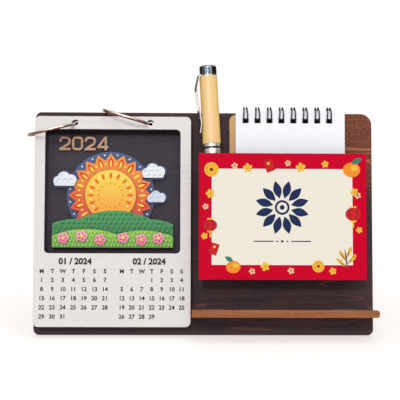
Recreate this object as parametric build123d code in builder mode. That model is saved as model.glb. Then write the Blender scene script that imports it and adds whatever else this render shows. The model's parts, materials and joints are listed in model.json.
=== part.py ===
from build123d import *
from math import asin, ceil, cos, degrees, hypot, pi, radians, sin, sqrt, tan
import os

# A desk calendar: a leaning backboard with three month plates on two loose-leaf rings,
# a pocket for a pen and a notepad, a front ledge and two rear feet.
# All sizes are in millimetres and all angles in degrees.
# The origin is on the table, at the middle of the box round the object, and +Z is up.

# Places on the board are given as x from its left edge, up along its face, and out from
# its front face.

# Backboard
board_height = 158.0
board_thickness = 4.0
board_corner = 4.2
board_corner_top_right = 8.2
lean = 12.0

# Clearances
joint_gap = 0.1
layer_gap = 0.1
seat_gap = 0.3
running_gap = 0.04

# Month plates
plate_count = 3
plate_left = 0.5
plate_bottom = 5.8
plate_width = 109.9
plate_top_margin = 4.1
plate_thickness = 3.0
plate_corner = 3.6
window_side_margin = 7.3
window_top_margin = 9.1
window_height = 87.6
window_corner = 3.0
plate_hole_diameter = 5.0
plate_hole_from_right = 28.7
plate_hole_from_top = 4.9

# Loose-leaf rings
ring_radius = 17.5
ring_wire_diameter = 2.2
ring_centre_out = 3.5
ring_wander = 0.5
ring_nod = 7.0
ring_axis_above_plate_holes = 0.3
board_ring_hole_diameter = 6.0
ring_left_direction = 194.0
ring_side_gap = 1.8
ring_edge_gap = 0.3
knuckle_radius = 1.8
knuckle_thickness = 2.4
tongue_thickness = 0.8
ring_pin_radius = 0.45
ring_pin_head_radius = 0.8
ring_pin_head_thickness = 0.25
catch_radius = 0.5
catch_length = 1.5

# Year numerals
numeral_side_margin = 9.2
numeral_top_margin = 4.4
numeral_width = 8.0
numeral_height = 9.8
numeral_pitch = 8.95
numeral_stroke = 1.7
numeral_bend = 2.1
numeral_shoulder = 2.9
numeral_bar = 2.4
numeral_stem = 1.9
numeral_thickness = 2.0

# Layered picture
picture_side_margin = 5.0
picture_foot_margin = 4.2
picture_unit = 1.0
picture_backing_thickness = 2.0
picture_rim = 1.2
sun_across = 41.0
sun_up = 37.0
ray_count = 20
ray_outer_radius = 30.0
ray_inner_radius = 25.0
ray_thickness = 1.5
sun_radius = 18.0
sun_thickness = 1.5
hills_thickness = 3.0
meadow_thickness = 1.0
cloud_thickness = 3.0
flower_thickness = 1.0
flower_petal_radius = 1.9
flower_petal_reach = 2.3
flower_heart_radius = 1.2
flower_heart_thickness = 0.8

# Ledge
ledge_gap = 0.8
ledge_bottom = 12.9
ledge_thickness = 5.1
ledge_depth = 29.0
ledge_end_rounding = 1.7
ledge_tenon_width = 20.0
ledge_tenon_inset = 22.0

# Rear feet
foot_thickness = 6.0
foot_inset = 21.0
foot_reach = 52.0
foot_height = 98.0
foot_toe_height = 7.0
foot_top_depth = 7.0
foot_hollow = 9.0
foot_tab_bottom = 56.0
foot_tab_height = 24.0

# Pocket
pocket_gap = 5.4
pocket_right_margin = 7.7
pocket_bottom = 38.8
pocket_front_width = 116.5
pocket_front_height = 88.0
pocket_front_thickness = 3.0
pocket_front_corner = 0.6
pocket_depth = 19.0
pocket_wall = 3.0
pocket_left_inset = 0.6
pocket_right_inset = 3.5
pocket_wall_drop = 6.0
pocket_floor_rise = 4.2
pocket_floor_thickness = 3.0

# Notepad
pad_side_gap = 6.5
cover_thickness = 1.2
cover_corner = 4.0
page_step_left = 4.0
page_step_up = 2.6
page_block_height = 112.3
page_block_thickness = 6.0
page_corner = 3.0
loop_count = 8
loop_pitch = 8.47
loop_wire_diameter = 1.0
loop_gap = 0.2
loop_board_gap = 0.85
loop_up_from_page_top = 2.8
loop_half_width = 1.35
loop_root_radius = 1.2
loop_tip_angle = 132.0
binding_hole_side_play = 0.35
binding_hole_play = 0.5

# Pen, with distances along it from its lower end
pen_side_gap = 0.4
pen_front_gap = 1.9
pen_pad_gap = 1.8
pen_lean = 3.2
tail_length = 3.0
tail_radius = 4.8
barrel_top = 79.0
barrel_bottom_radius = 5.5
barrel_top_radius = 6.1
collar_length = 9.0
collar_radius = 5.8
collar_ring_from_top = 3.4
collar_ring_height = 1.4
collar_ring_radius = 6.0
grip_length = 20.0
grip_bottom_radius = 4.6
grip_top_radius = 3.6
refill_radius = 2.9
refill_plug_length = 9.0
grip_nose_length = 2.0
refill_tip_length = 12.0
refill_tip_radius = 1.1
refill_point_radius = 0.35
refill_room = 0.2
cap_wall = 1.15
cap_length = 48.3
cap_play = 0.25
liner_wall = 0.35
liner_length = 34.0
finial_length = 6.6
finial_step = 0.2
finial_rounding = 1.7
finial_plug_length = 5.0
clip_thickness = 0.8
clip_width = 4.0
clip_washer_step = 0.35
clip_shoulder = 0.8
clip_bulge = 3.9
clip_length = 41.0
clip_lift = 0.9
clip_flick = 1.4
clip_bend = 1.0
clip_sweep = 24.0
clip_tip_sweep = 12.0
clip_turn = 20.0

# Places along the board, from left to right
ring_wire_radius = ring_wire_diameter / 2
ring_reach = ring_radius - ring_wander
ring_edge_reach = ring_reach + sqrt(ring_radius**2 - (ring_centre_out + board_thickness) ** 2)
ring_left_turn = cos(radians(ring_left_direction))
ring_left_x = -ring_edge_reach * ring_left_turn - ring_wire_radius - ring_side_gap
plate_right = plate_left + plate_width
ring_right_x = plate_right - plate_hole_from_right
window_left = plate_left + window_side_margin
window_right = plate_right - window_side_margin
ledge_left = plate_right + ledge_gap
pocket_left = plate_right + pocket_gap
pocket_front_right = pocket_left + pocket_front_width
board_width = pocket_front_right + pocket_right_margin
left_wall_x = pocket_left + pocket_left_inset
right_wall_x = pocket_front_right - pocket_right_inset - pocket_wall
foot_xs = (pocket_left + foot_inset, pocket_front_right - foot_inset - foot_thickness)
ledge_tenon_xs = (ledge_left + ledge_tenon_inset, board_width - ledge_tenon_inset)

# Places up the board
plate_height = board_height - plate_bottom - plate_top_margin
plate_top = plate_bottom + plate_height
plate_hole_up = plate_top - plate_hole_from_top
ring_axis_up = plate_hole_up + ring_axis_above_plate_holes
ring_right_climb = board_height - ring_axis_up + ring_wire_radius + ring_edge_gap


def ring_slope(depth):
    """How steeply the right ring rises to pass over the board's edge, this deep in the board."""
    away = ring_reach + sqrt(ring_radius**2 - (ring_centre_out + depth) ** 2)
    lifted = (ring_centre_out + depth) * tan(radians(ring_nod))
    return degrees(asin((ring_right_climb - lifted) / away))


ring_right_direction = 180 - max(ring_slope(0), ring_slope(board_thickness))
window_top = plate_top - window_top_margin
window_bottom = window_top - window_height
pocket_top = pocket_bottom + pocket_front_height
pocket_wall_top = pocket_top - pocket_wall_drop
pocket_floor_bottom = pocket_bottom + pocket_floor_rise
pocket_floor_top = pocket_floor_bottom + pocket_floor_thickness
notepad_bottom = pocket_floor_top + seat_gap
page_top = notepad_bottom + page_block_height

# The leaning frame of the board: sketches on this plane run along x and up the board,
# and its normal points out of the front face.
lean_sin = sin(radians(lean))
lean_cos = cos(radians(lean))
left_reach = ring_left_x + (ring_reach + ring_radius) * ring_left_turn - ring_wire_radius
front_reach = ledge_depth * lean_cos - ledge_bottom * lean_sin
back_reach = board_thickness * lean_cos + foot_reach
middle_x = (left_reach + board_width) / 2
board_y = (front_reach - back_reach) / 2
board_lift = board_thickness * lean_sin
face = Plane(
    origin=(-middle_x, board_y, board_lift),
    x_dir=(1, 0, 0),
    z_dir=(0, -lean_cos, lean_sin),
)


def spot(x, up, out):
    """The point at x from the board's left edge, up its face and out from its front."""
    return face.from_local_coords(Vector(x, up, out))


def side_plane(x):
    """A plane across the board: sketch x runs up it, sketch y out from it, normal to the right."""
    return Plane(origin=spot(x, 0, 0), x_dir=face.y_dir, z_dir=face.x_dir)


def level_plane(up):
    """A plane square to the board's height: sketch x to the right, sketch y to the back."""
    return Plane(origin=spot(0, up, 0), x_dir=face.x_dir, z_dir=face.y_dir)


# Backboard, with ring holes and through mortises for the ledge and the feet
with BuildPart() as backboard:
    with BuildSketch(face.offset(-board_thickness)):
        with Locations((board_width / 2, board_height / 2)):
            Rectangle(board_width, board_height)
        top_right = vertices().group_by(Axis.Y)[-1].sort_by(Axis.X)[-1]
        others = vertices().sort_by_distance(top_right)[1:]
        fillet(others, board_corner)
        fillet(vertices().sort_by_distance(top_right)[0], board_corner_top_right)
        with Locations((ring_left_x, ring_axis_up), (ring_right_x, ring_axis_up)):
            Circle(board_ring_hole_diameter / 2, mode=Mode.SUBTRACT)
        for tenon_x in ledge_tenon_xs:
            with Locations((tenon_x, ledge_bottom + ledge_thickness / 2)):
                Rectangle(
                    ledge_tenon_width + 2 * joint_gap,
                    ledge_thickness + 2 * joint_gap,
                    mode=Mode.SUBTRACT,
                )
        for foot_x in foot_xs:
            with Locations((foot_x + foot_thickness / 2, foot_tab_bottom + foot_tab_height / 2)):
                Rectangle(
                    foot_thickness + 2 * joint_gap,
                    foot_tab_height + 2 * joint_gap,
                    mode=Mode.SUBTRACT,
                )
    extrude(amount=board_thickness)


# Ledge below the pocket, square to the board, with two tenons through it
with BuildPart() as ledge:
    with BuildSketch(level_plane(ledge_bottom)):
        with Locations(((ledge_left + board_width) / 2, -ledge_depth / 2)):
            Rectangle(board_width - ledge_left, ledge_depth)
        for tenon_x in ledge_tenon_xs:
            with Locations((tenon_x, board_thickness / 2)):
                Rectangle(ledge_tenon_width, board_thickness)
    extrude(amount=ledge_thickness)
    fillet(edges().filter_by(Axis(face.origin, face.z_dir)).group_by(Axis.X)[-1], ledge_end_rounding)


def rear_foot(x):
    """One triangular foot: it lies along the board's back and the table, with a tab through the board."""
    heel = Vector(0, -board_thickness)
    along_table = Vector(lean_sin, -lean_cos)
    upright = Vector(lean_cos, lean_sin)
    toe = heel + along_table * foot_reach
    toe_top = toe + upright * foot_toe_height
    top_back = Vector(foot_height, -board_thickness - foot_top_depth)
    top_front = Vector(foot_height, -board_thickness)
    with BuildPart() as foot:
        with BuildSketch(side_plane(x)):
            with BuildLine():
                Polyline(top_back, top_front, heel, toe, toe_top)
                SagittaArc(toe_top, top_back, foot_hollow)
            make_face()
            with Locations((foot_tab_bottom + foot_tab_height / 2, -board_thickness / 2)):
                Rectangle(foot_tab_height, board_thickness)
        extrude(amount=foot_thickness)
    return foot


foot_left, foot_right = [rear_foot(x) for x in foot_xs]


# Pocket: a front panel, two walls and a floor
with BuildPart() as pocket_front:
    with BuildSketch(face.offset(pocket_depth)):
        with Locations(
            (pocket_left + pocket_front_width / 2, pocket_bottom + pocket_front_height / 2)
        ):
            RectangleRounded(pocket_front_width, pocket_front_height, pocket_front_corner)
    extrude(amount=pocket_front_thickness)


def pocket_side(x):
    """One side wall of the pocket, from the floor's underside to below the panel's top."""
    with BuildPart() as wall:
        with BuildSketch(side_plane(x)):
            with Locations(((pocket_floor_bottom + pocket_wall_top) / 2, pocket_depth / 2)):
                Rectangle(pocket_wall_top - pocket_floor_bottom, pocket_depth)
        extrude(amount=pocket_wall)
    return wall


pocket_left_wall = pocket_side(left_wall_x)
pocket_right_wall = pocket_side(right_wall_x)

with BuildPart() as pocket_floor:
    with BuildSketch(level_plane(pocket_floor_bottom)):
        floor_left = left_wall_x + pocket_wall
        with Locations(((floor_left + right_wall_x) / 2, -pocket_depth / 2)):
            Rectangle(right_wall_x - floor_left, pocket_depth)
    extrude(amount=pocket_floor_thickness)


def plate_rear_out(number):
    """How far a plate's rear face stands out from the board, number 0 being the rearmost."""
    return layer_gap + number * (plate_thickness + layer_gap)


def month_plate(number):
    """A month plate with its window and two ring holes."""
    with BuildPart() as plate:
        with BuildSketch(face.offset(plate_rear_out(number))):
            with Locations((plate_left + plate_width / 2, plate_bottom + plate_height / 2)):
                RectangleRounded(plate_width, plate_height, plate_corner)
            with Locations(((window_left + window_right) / 2, window_top - window_height / 2)):
                RectangleRounded(
                    window_right - window_left, window_height, window_corner, mode=Mode.SUBTRACT
                )
            with Locations((ring_left_x, plate_hole_up), (ring_right_x, plate_hole_up)):
                Circle(plate_hole_diameter / 2, mode=Mode.SUBTRACT)
        extrude(amount=plate_thickness)
    return plate


plate_names = ("plate_back", "plate_middle", "plate_front")
month_plates = [month_plate(number) for number in range(plate_count)]


def numeral_sketch(symbol, left):
    """One numeral of bent strokes and straight bars, cut to its box, from its left edge."""
    half = numeral_stroke / 2
    low = numeral_bottom + half
    high = numeral_bottom + numeral_height - half
    near = left + half
    far = left + numeral_width - half
    middle_x = (near + far) / 2
    middle_up = (low + high) / 2
    with BuildSketch() as numeral:
        with BuildLine():
            if symbol == "0":
                around = [(near, low), (far, low), (far, high), (near, high)]
                FilletPolyline(*around, radius=numeral_bend, close=True)
            elif symbol == "2":
                hook = (near, high - numeral_shoulder)
                over = [hook, (near, high), (far, high), (far, middle_up), (near, low)]
                FilletPolyline(*over, radius=numeral_bend)
            else:
                stem_x = far + half - numeral_stem
                bar_up = low - half + numeral_bar
                Line((stem_x, high + half), (near, bar_up))
        trace(line_width=numeral_stroke)
        if symbol == "2":
            with Locations((middle_x, low)):
                Rectangle(numeral_width, numeral_stroke)
        if symbol == "4":
            with Locations((stem_x, middle_up)):
                Rectangle(numeral_stroke, numeral_height)
            with Locations((middle_x, bar_up)):
                Rectangle(numeral_width, numeral_stroke)
        with Locations((middle_x, middle_up)):
            Rectangle(numeral_width, numeral_height, mode=Mode.INTERSECT)
    return numeral.sketch


numeral_left = window_left + numeral_side_margin
numeral_bottom = window_top - numeral_top_margin - numeral_height

# Raised year numerals on the board, seen through the plates' windows
with BuildPart() as year_numerals:
    with BuildSketch(face):
        for place, symbol in enumerate("2024"):
            add(numeral_sketch(symbol, numeral_left + place * numeral_pitch))
    extrude(amount=numeral_thickness)


# Layered picture on the board, in the window below the numerals: outlines first, then layers
picture_left = window_left + picture_side_margin
picture_right = window_right - picture_side_margin
picture_bottom = window_bottom + picture_foot_margin
picture_top = numeral_bottom - joint_gap


def picture_spot(across, up):
    """A point of the picture, from its lower left corner."""
    return (picture_left + across, picture_bottom + up)


def picture_humps(circles):
    """Overlapping circles, each given as across, up and radius in the picture's units."""
    with BuildSketch() as humps:
        for across, up, radius in circles:
            with Locations(picture_spot(across * picture_unit, up * picture_unit)):
                Circle(radius * picture_unit)
    return humps.sketch


def picture_cloud(across, up, size):
    """Three puffs on a flat-bottomed bar."""
    with BuildSketch() as cloud:
        for shift, lift, radius in ((-5.5, 0, 3.4), (-1.5, 2.2, 4.4), (3.6, 0.8, 3.8)):
            puff = picture_spot(
                (across + shift * size) * picture_unit, (up + lift * size) * picture_unit
            )
            with Locations(puff):
                Circle(radius * size * picture_unit)
        with Locations(
            picture_spot((across - size) * picture_unit, (up - 1.7 * size) * picture_unit)
        ):
            SlotOverall(15 * size * picture_unit, 3.6 * size * picture_unit)
    return cloud.sketch


with BuildSketch() as picture_frame:
    with Locations(((picture_left + picture_right) / 2, (picture_bottom + picture_top) / 2)):
        Rectangle(picture_right - picture_left, picture_top - picture_bottom)

with BuildSketch() as hills_outline:
    add(picture_humps(((15, -16, 36), (44, -30, 56), (70, -14, 34))))
    add(picture_frame.sketch, mode=Mode.INTERSECT)

with BuildSketch() as meadow_outline:
    add(picture_humps(((24, -50, 63), (64, -46, 58))))
    add(hills_outline.sketch, mode=Mode.INTERSECT)

with BuildSketch() as clouds_outline:
    for across, up, size in ((9.5, 47, 1.0), (72, 53, 1.0), (74, 35, 0.8)):
        add(picture_cloud(across, up, size))
    add(picture_frame.sketch, mode=Mode.INTERSECT)

with BuildSketch() as picture_room:
    add(hills_outline.sketch)
    add(clouds_outline.sketch)
    offset(amount=joint_gap)

with BuildPart() as picture_backing:
    with BuildSketch(face):
        add(clouds_outline.sketch)
        with Locations(picture_spot(sun_across, sun_up)):
            Circle(ray_outer_radius)
        offset(amount=picture_rim)
        add(hills_outline.sketch)
        add(picture_frame.sketch, mode=Mode.INTERSECT)
    extrude(amount=picture_backing_thickness)

with BuildPart() as picture_rays:
    with BuildSketch(face.offset(picture_backing_thickness)):
        ray_points = []
        for number in range(2 * ray_count):
            turn = pi * number / ray_count
            radius = ray_inner_radius if number % 2 else ray_outer_radius
            ray_points.append(
                picture_spot(sun_across + radius * cos(turn), sun_up + radius * sin(turn))
            )
        with BuildLine():
            Polyline(*ray_points, close=True)
        make_face()
        add(picture_room.sketch, mode=Mode.SUBTRACT)
        add(picture_frame.sketch, mode=Mode.INTERSECT)
    extrude(amount=ray_thickness)

rays_front = picture_backing_thickness + ray_thickness
with BuildPart() as picture_sun:
    with BuildSketch(face.offset(rays_front)):
        with Locations(picture_spot(sun_across, sun_up)):
            Circle(sun_radius)
        add(picture_room.sketch, mode=Mode.SUBTRACT)
    extrude(amount=sun_thickness)

with BuildPart() as picture_hills:
    with BuildSketch(face.offset(picture_backing_thickness)):
        add(hills_outline.sketch)
    extrude(amount=hills_thickness)

with BuildPart() as picture_clouds:
    with BuildSketch(face.offset(picture_backing_thickness)):
        add(clouds_outline.sketch)
    extrude(amount=cloud_thickness)

hills_front = picture_backing_thickness + hills_thickness
with BuildPart() as picture_meadow:
    with BuildSketch(face.offset(hills_front)):
        add(meadow_outline.sketch)
    extrude(amount=meadow_thickness)

meadow_front = hills_front + meadow_thickness
flower_places = [
    picture_spot(across * picture_unit, up * picture_unit)
    for across, up in ((8, 6.5), (21, 8), (34, 5.5), (50, 7), (63, 5.5), (75, 6.5))
]
with BuildPart() as picture_flowers:
    with BuildSketch(face.offset(meadow_front)):
        for place in flower_places:
            with Locations(place):
                with PolarLocations(flower_petal_reach, 5):
                    Circle(flower_petal_radius)
                Circle(flower_petal_reach)
        add(meadow_outline.sketch, mode=Mode.INTERSECT)
    extrude(amount=flower_thickness)

with BuildPart() as picture_flower_hearts:
    with BuildSketch(face.offset(meadow_front + flower_thickness)):
        for place in flower_places:
            with Locations(place):
                Circle(flower_heart_radius)
        add(meadow_outline.sketch, mode=Mode.INTERSECT)
    extrude(amount=flower_heart_thickness)


# Loose-leaf rings. Each points from its hole past the nearest edge of the board, in a
# plane that is nearly square to the board: its front hangs a little lower than its back.
# Its own plane has x away from the hole and y to the front, with the ring's centre as origin.
def ring_plane(hole_x, direction):
    """The plane of a ring that points from its hole in this direction on the board's face."""
    away = face.x_dir * cos(radians(direction)) + face.y_dir * sin(radians(direction))
    centre = spot(hole_x, ring_axis_up, ring_centre_out) + away * ring_reach
    nod = radians(ring_nod)
    to_front = face.z_dir * cos(nod) + face.z_dir.cross(away) * sin(nod)
    return Plane(origin=centre, x_dir=away, z_dir=away.cross(to_front))


def ring_wire_start(plane):
    """The cross plane at the ring's front point, where both halves start."""
    return Plane(
        origin=plane.from_local_coords(Vector(0, ring_radius, 0)),
        x_dir=plane.y_dir,
        z_dir=plane.x_dir,
    )


def hinge_plane(plane, height):
    """The plane at the ring's back point, this far along the hinge pin."""
    return Plane(
        origin=plane.from_local_coords(Vector(0, -ring_radius, height)),
        x_dir=plane.x_dir,
        z_dir=plane.z_dir,
    )


def ring_half(plane):
    """The half in the hole: a catch pin in front, and two cheeks round the hinge pin behind."""
    slot_half = tongue_thickness / 2 + running_gap
    with BuildPart() as half:
        with BuildSketch(ring_wire_start(plane)):
            Circle(ring_wire_radius)
        revolve(axis=Axis(plane.origin, plane.z_dir), revolution_arc=180)
        with BuildSketch(ring_wire_start(plane)):
            Circle(catch_radius)
        extrude(amount=catch_length)
        with BuildSketch(hinge_plane(plane, -knuckle_thickness / 2)):
            Circle(knuckle_radius)
        extrude(amount=knuckle_thickness)
        with BuildSketch(hinge_plane(plane, -slot_half)):
            Circle(knuckle_radius + joint_gap)
        extrude(amount=2 * slot_half, mode=Mode.SUBTRACT)
        with BuildSketch(hinge_plane(plane, -knuckle_thickness / 2)):
            Circle(ring_pin_radius + running_gap)
        extrude(amount=knuckle_thickness, mode=Mode.SUBTRACT)
    return half


def ring_gate(plane):
    """The half that opens: a socket in front for the catch pin, and a tongue behind on the pin."""
    with BuildPart() as gate:
        with BuildSketch(ring_wire_start(plane)):
            Circle(ring_wire_radius)
        revolve(axis=Axis(plane.origin, -plane.z_dir), revolution_arc=180)
        with BuildSketch(ring_wire_start(plane)):
            Circle(catch_radius + joint_gap)
        extrude(amount=catch_length + joint_gap, mode=Mode.SUBTRACT)
        with BuildSketch(ring_wire_start(plane)):
            Circle(ring_wire_diameter)
        extrude(amount=joint_gap, mode=Mode.SUBTRACT)
        with BuildSketch(hinge_plane(plane, -knuckle_thickness)):
            Circle(knuckle_radius + joint_gap)
        extrude(amount=2 * knuckle_thickness, mode=Mode.SUBTRACT)
        with BuildSketch(hinge_plane(plane, -tongue_thickness / 2)):
            Circle(knuckle_radius)
            with Locations((knuckle_radius * 0.75, 0)):
                Rectangle(knuckle_radius * 1.5, ring_wire_diameter * 0.8)
            Circle(ring_pin_radius + running_gap, mode=Mode.SUBTRACT)
        extrude(amount=tongue_thickness)
    return gate


def ring_pin(plane):
    """The hinge pin, with a flat head against each cheek."""
    half_length = knuckle_thickness / 2 + running_gap
    with BuildPart() as pin:
        with BuildSketch(hinge_plane(plane, -half_length)):
            Circle(ring_pin_radius)
        extrude(amount=2 * half_length)
        with BuildSketch(hinge_plane(plane, half_length)):
            Circle(ring_pin_head_radius)
        extrude(amount=ring_pin_head_thickness)
        with BuildSketch(hinge_plane(plane, -half_length)):
            Circle(ring_pin_head_radius)
        extrude(amount=-ring_pin_head_thickness)
    return pin


ring_left_plane = ring_plane(ring_left_x, ring_left_direction)
ring_left_half = ring_half(ring_left_plane)
ring_left_gate = ring_gate(ring_left_plane)
ring_left_pin = ring_pin(ring_left_plane)
ring_right_plane = ring_plane(ring_right_x, ring_right_direction)
ring_right_half = ring_half(ring_right_plane)
ring_right_gate = ring_gate(ring_right_plane)
ring_right_pin = ring_pin(ring_right_plane)


# Pen's place: its lower end stands on the pocket's floor, and it leans to the left as far as
# the pocket's wall lets it.
pen_drift = (pocket_wall_top - pocket_floor_top) * tan(radians(pen_lean))
pen_base_x = left_wall_x + pocket_wall + pen_side_gap + barrel_top_radius + pen_drift
pen_out = pocket_depth - pen_front_gap - barrel_top_radius


# Notepad: a card back cover, a page block and a twin-loop wire through both. The loops
# just clear the pages' top edges, and the cover stands far enough out to clear the loops.
pad_thickness = cover_thickness + layer_gap + page_block_thickness
loop_wire_radius = loop_wire_diameter / 2
loop_radius = hypot(pad_thickness / 2, loop_up_from_page_top) + loop_wire_radius + loop_gap
loop_drop = sqrt(loop_radius**2 - (pad_thickness / 2) ** 2)
loop_up = page_top - loop_up_from_page_top
loop_out = loop_board_gap + loop_wire_radius + loop_radius
cover_out = loop_out - pad_thickness / 2
page_out = cover_out + cover_thickness + layer_gap
cover_left = pen_base_x + barrel_top_radius + pen_pad_gap
cover_width = right_wall_x - pad_side_gap - cover_left
cover_height = page_block_height - page_step_up
page_left = cover_left + page_step_left
page_block_width = cover_width - page_step_left
loop_first_x = cover_left + cover_width / 2 - loop_pitch * (loop_count - 1) / 2
loop_xs = [loop_first_x + number * loop_pitch for number in range(loop_count)]
binding_hole_width = 2 * loop_half_width + loop_wire_diameter + 2 * binding_hole_side_play
binding_hole_height = loop_radius - loop_drop + loop_wire_diameter + 2 * binding_hole_play
binding_places = [(x, loop_up - (loop_drop + loop_radius) / 2) for x in loop_xs]

with BuildPart() as notepad_cover:
    with BuildSketch(face.offset(cover_out)):
        with Locations((cover_left + cover_width / 2, notepad_bottom + cover_height / 2)):
            RectangleRounded(cover_width, cover_height, cover_corner)
        with Locations(*binding_places):
            Rectangle(binding_hole_width, binding_hole_height, mode=Mode.SUBTRACT)
    extrude(amount=cover_thickness)

with BuildPart() as notepad_pages:
    with BuildSketch(face.offset(page_out)):
        with Locations((page_left + page_block_width / 2, notepad_bottom + page_block_height / 2)):
            RectangleRounded(page_block_width, page_block_height, page_corner)
        with Locations(*binding_places):
            Rectangle(binding_hole_width, binding_hole_height, mode=Mode.SUBTRACT)
    extrude(amount=page_block_thickness)


def loop_spot(x, angle, further=0.0):
    """A point on a loop, at an angle from its front over its top, or further on along the wire."""
    turn = radians(angle)
    up = loop_up + loop_radius * sin(turn) - further * cos(turn)
    out = loop_out + loop_radius * cos(turn) + further * sin(turn)
    return spot(x, up, out)


def root_spot(x, fall):
    """A point beside the root line of the loops, this far below where the loops leave it."""
    return spot(x, loop_up - fall, loop_out - loop_radius)


def leg_arcs(x, angles):
    """Two arcs along one leg of a loop, through five angles."""
    ThreePointArc(*[loop_spot(x, angle) for angle in angles[:3]])
    ThreePointArc(*[loop_spot(x, angle) for angle in angles[2:]])


# The wire runs along its root, up and round the front of each loop, through the holes to
# the loop's tip behind the pad, back the same way, and on to the next loop.
angle_step = (180 + loop_tip_angle) / 4
out_angles = [180 - number * angle_step for number in range(5)]
bend = loop_root_radius * sqrt(0.5)
with BuildPart() as notepad_wire:
    with BuildLine() as wire_route:
        for number, x in enumerate(loop_xs):
            left_leg = x - loop_half_width
            right_leg = x + loop_half_width
            left_bend = left_leg - loop_root_radius
            right_bend = right_leg + loop_root_radius
            root_start = left_bend - loop_wire_diameter
            if number:
                root_start = right_bend - loop_pitch
            Line(root_spot(root_start, loop_root_radius), root_spot(left_bend, loop_root_radius))
            ThreePointArc(
                root_spot(left_bend, loop_root_radius),
                root_spot(left_bend + bend, bend),
                root_spot(left_leg, 0),
            )
            leg_arcs(left_leg, out_angles)
            ThreePointArc(
                loop_spot(left_leg, -loop_tip_angle),
                loop_spot(x, -loop_tip_angle, loop_half_width),
                loop_spot(right_leg, -loop_tip_angle),
            )
            leg_arcs(right_leg, out_angles[::-1])
            ThreePointArc(
                root_spot(right_leg, 0),
                root_spot(right_bend - bend, bend),
                root_spot(right_bend, loop_root_radius),
            )
        Line(
            root_spot(right_bend, loop_root_radius),
            root_spot(right_bend + loop_wire_diameter, loop_root_radius),
        )
    with BuildSketch(Plane(origin=wire_route.wire() @ 0, z_dir=wire_route.wire() % 0)):
        Circle(loop_wire_radius)
    sweep()


def least_gap(route, thickness):
    """The smallest clear distance between stretches of a tube that aren't next to each other."""
    step = thickness / 2
    count = ceil(route.length / step)
    points = [route @ (number / count) for number in range(count + 1)]
    apart = ceil(4 * thickness / step)
    reach = ceil(3 * loop_pitch * pi / step)
    nearest = min(
        (points[first] - points[second]).length
        for first in range(0, count + 1)
        for second in range(first + apart, min(first + reach, count + 1))
    )
    return nearest - thickness


print("twin-loop wire length", round(wire_route.wire().length, 1))
print("twin-loop wire least gap to itself", round(least_gap(wire_route.wire(), loop_wire_diameter), 2))


# Pen. On its side plane, sketch x is the distance from its axis, and sketch y runs up along it.
pen_right = face.x_dir * cos(radians(pen_lean)) + face.y_dir * sin(radians(pen_lean))
pen_rise = seat_gap + tail_radius * sin(radians(pen_lean))
pen_side = Plane(
    origin=spot(pen_base_x, pocket_floor_top + pen_rise, pen_out),
    x_dir=pen_right,
    z_dir=face.z_dir,
)
pen_axis = Axis(pen_side.origin, pen_side.y_dir)
collar_top = barrel_top + collar_length
collar_ring_bottom = collar_top - collar_ring_from_top
refill_bore = refill_radius + refill_room
refill_bottom = tail_length + refill_plug_length
grip_top = collar_top + grip_length
refill_shoulder = grip_top - grip_nose_length
tip_clearance = refill_tip_radius + refill_room
cap_bottom = collar_top + layer_gap
cap_top = collar_top + cap_length
liner_radius = grip_bottom_radius + cap_play
cap_bore_radius = liner_radius + liner_wall
cap_radius = cap_bore_radius + cap_wall
finial_radius = cap_radius - finial_step
clip_washer_radius = cap_radius - clip_washer_step

with BuildPart() as pen_tail:
    with BuildSketch(pen_side):
        with BuildLine():
            Line((0, 0), (tail_radius - tail_length / 2, 0))
            RadiusArc(
                (tail_radius - tail_length / 2, 0), (tail_radius, tail_length / 2), -tail_length / 2
            )
            Polyline(
                (tail_radius, tail_length / 2),
                (tail_radius, tail_length),
                (refill_bore, tail_length),
                (refill_bore, refill_bottom - seat_gap),
                (0, refill_bottom - seat_gap),
                (0, 0),
            )
        make_face()
    revolve(axis=pen_axis)

with BuildPart() as pen_barrel:
    with BuildSketch(pen_side):
        with BuildLine():
            Polyline(
                (refill_bore, tail_length),
                (barrel_bottom_radius, tail_length),
                (barrel_top_radius, barrel_top),
                (refill_bore, barrel_top),
                close=True,
            )
        make_face()
    revolve(axis=pen_axis)

with BuildPart() as pen_collar:
    with BuildSketch(pen_side):
        with BuildLine():
            Polyline(
                (refill_bore, barrel_top),
                (collar_radius, barrel_top),
                (collar_radius, collar_ring_bottom),
                (collar_radius - collar_ring_height / 2, collar_ring_bottom),
                (collar_radius - collar_ring_height / 2, collar_ring_bottom + collar_ring_height),
                (collar_radius, collar_ring_bottom + collar_ring_height),
                (collar_radius, collar_top),
                (refill_bore, collar_top),
                close=True,
            )
        make_face()
    revolve(axis=pen_axis)

with BuildPart() as pen_collar_ring:
    with BuildSketch(pen_side):
        with BuildLine():
            Polyline(
                (collar_radius - collar_ring_height / 2, collar_ring_bottom),
                (collar_ring_radius, collar_ring_bottom),
                (collar_ring_radius, collar_ring_bottom + collar_ring_height),
                (collar_radius - collar_ring_height / 2, collar_ring_bottom + collar_ring_height),
                close=True,
            )
        make_face()
    revolve(axis=pen_axis)

with BuildPart() as pen_grip:
    with BuildSketch(pen_side):
        with BuildLine():
            Polyline(
                (refill_bore, collar_top),
                (grip_bottom_radius, collar_top),
                (grip_top_radius, grip_top),
                (tip_clearance, grip_top + tip_clearance),
                (tip_clearance, refill_shoulder + seat_gap),
                (refill_bore, refill_shoulder + seat_gap),
                close=True,
            )
        make_face()
    revolve(axis=pen_axis)

with BuildPart() as pen_refill:
    with BuildSketch(pen_side):
        tip_bottom = refill_shoulder
        tip_end = refill_shoulder + refill_tip_length
        with BuildLine():
            Polyline(
                (0, refill_bottom),
                (refill_radius, refill_bottom),
                (refill_radius, tip_bottom),
                (refill_tip_radius, tip_bottom),
                (refill_tip_radius, tip_end - refill_tip_length / 2),
                (refill_point_radius, tip_end),
                (0, tip_end),
                close=True,
            )
        make_face()
    revolve(axis=pen_axis)

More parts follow.
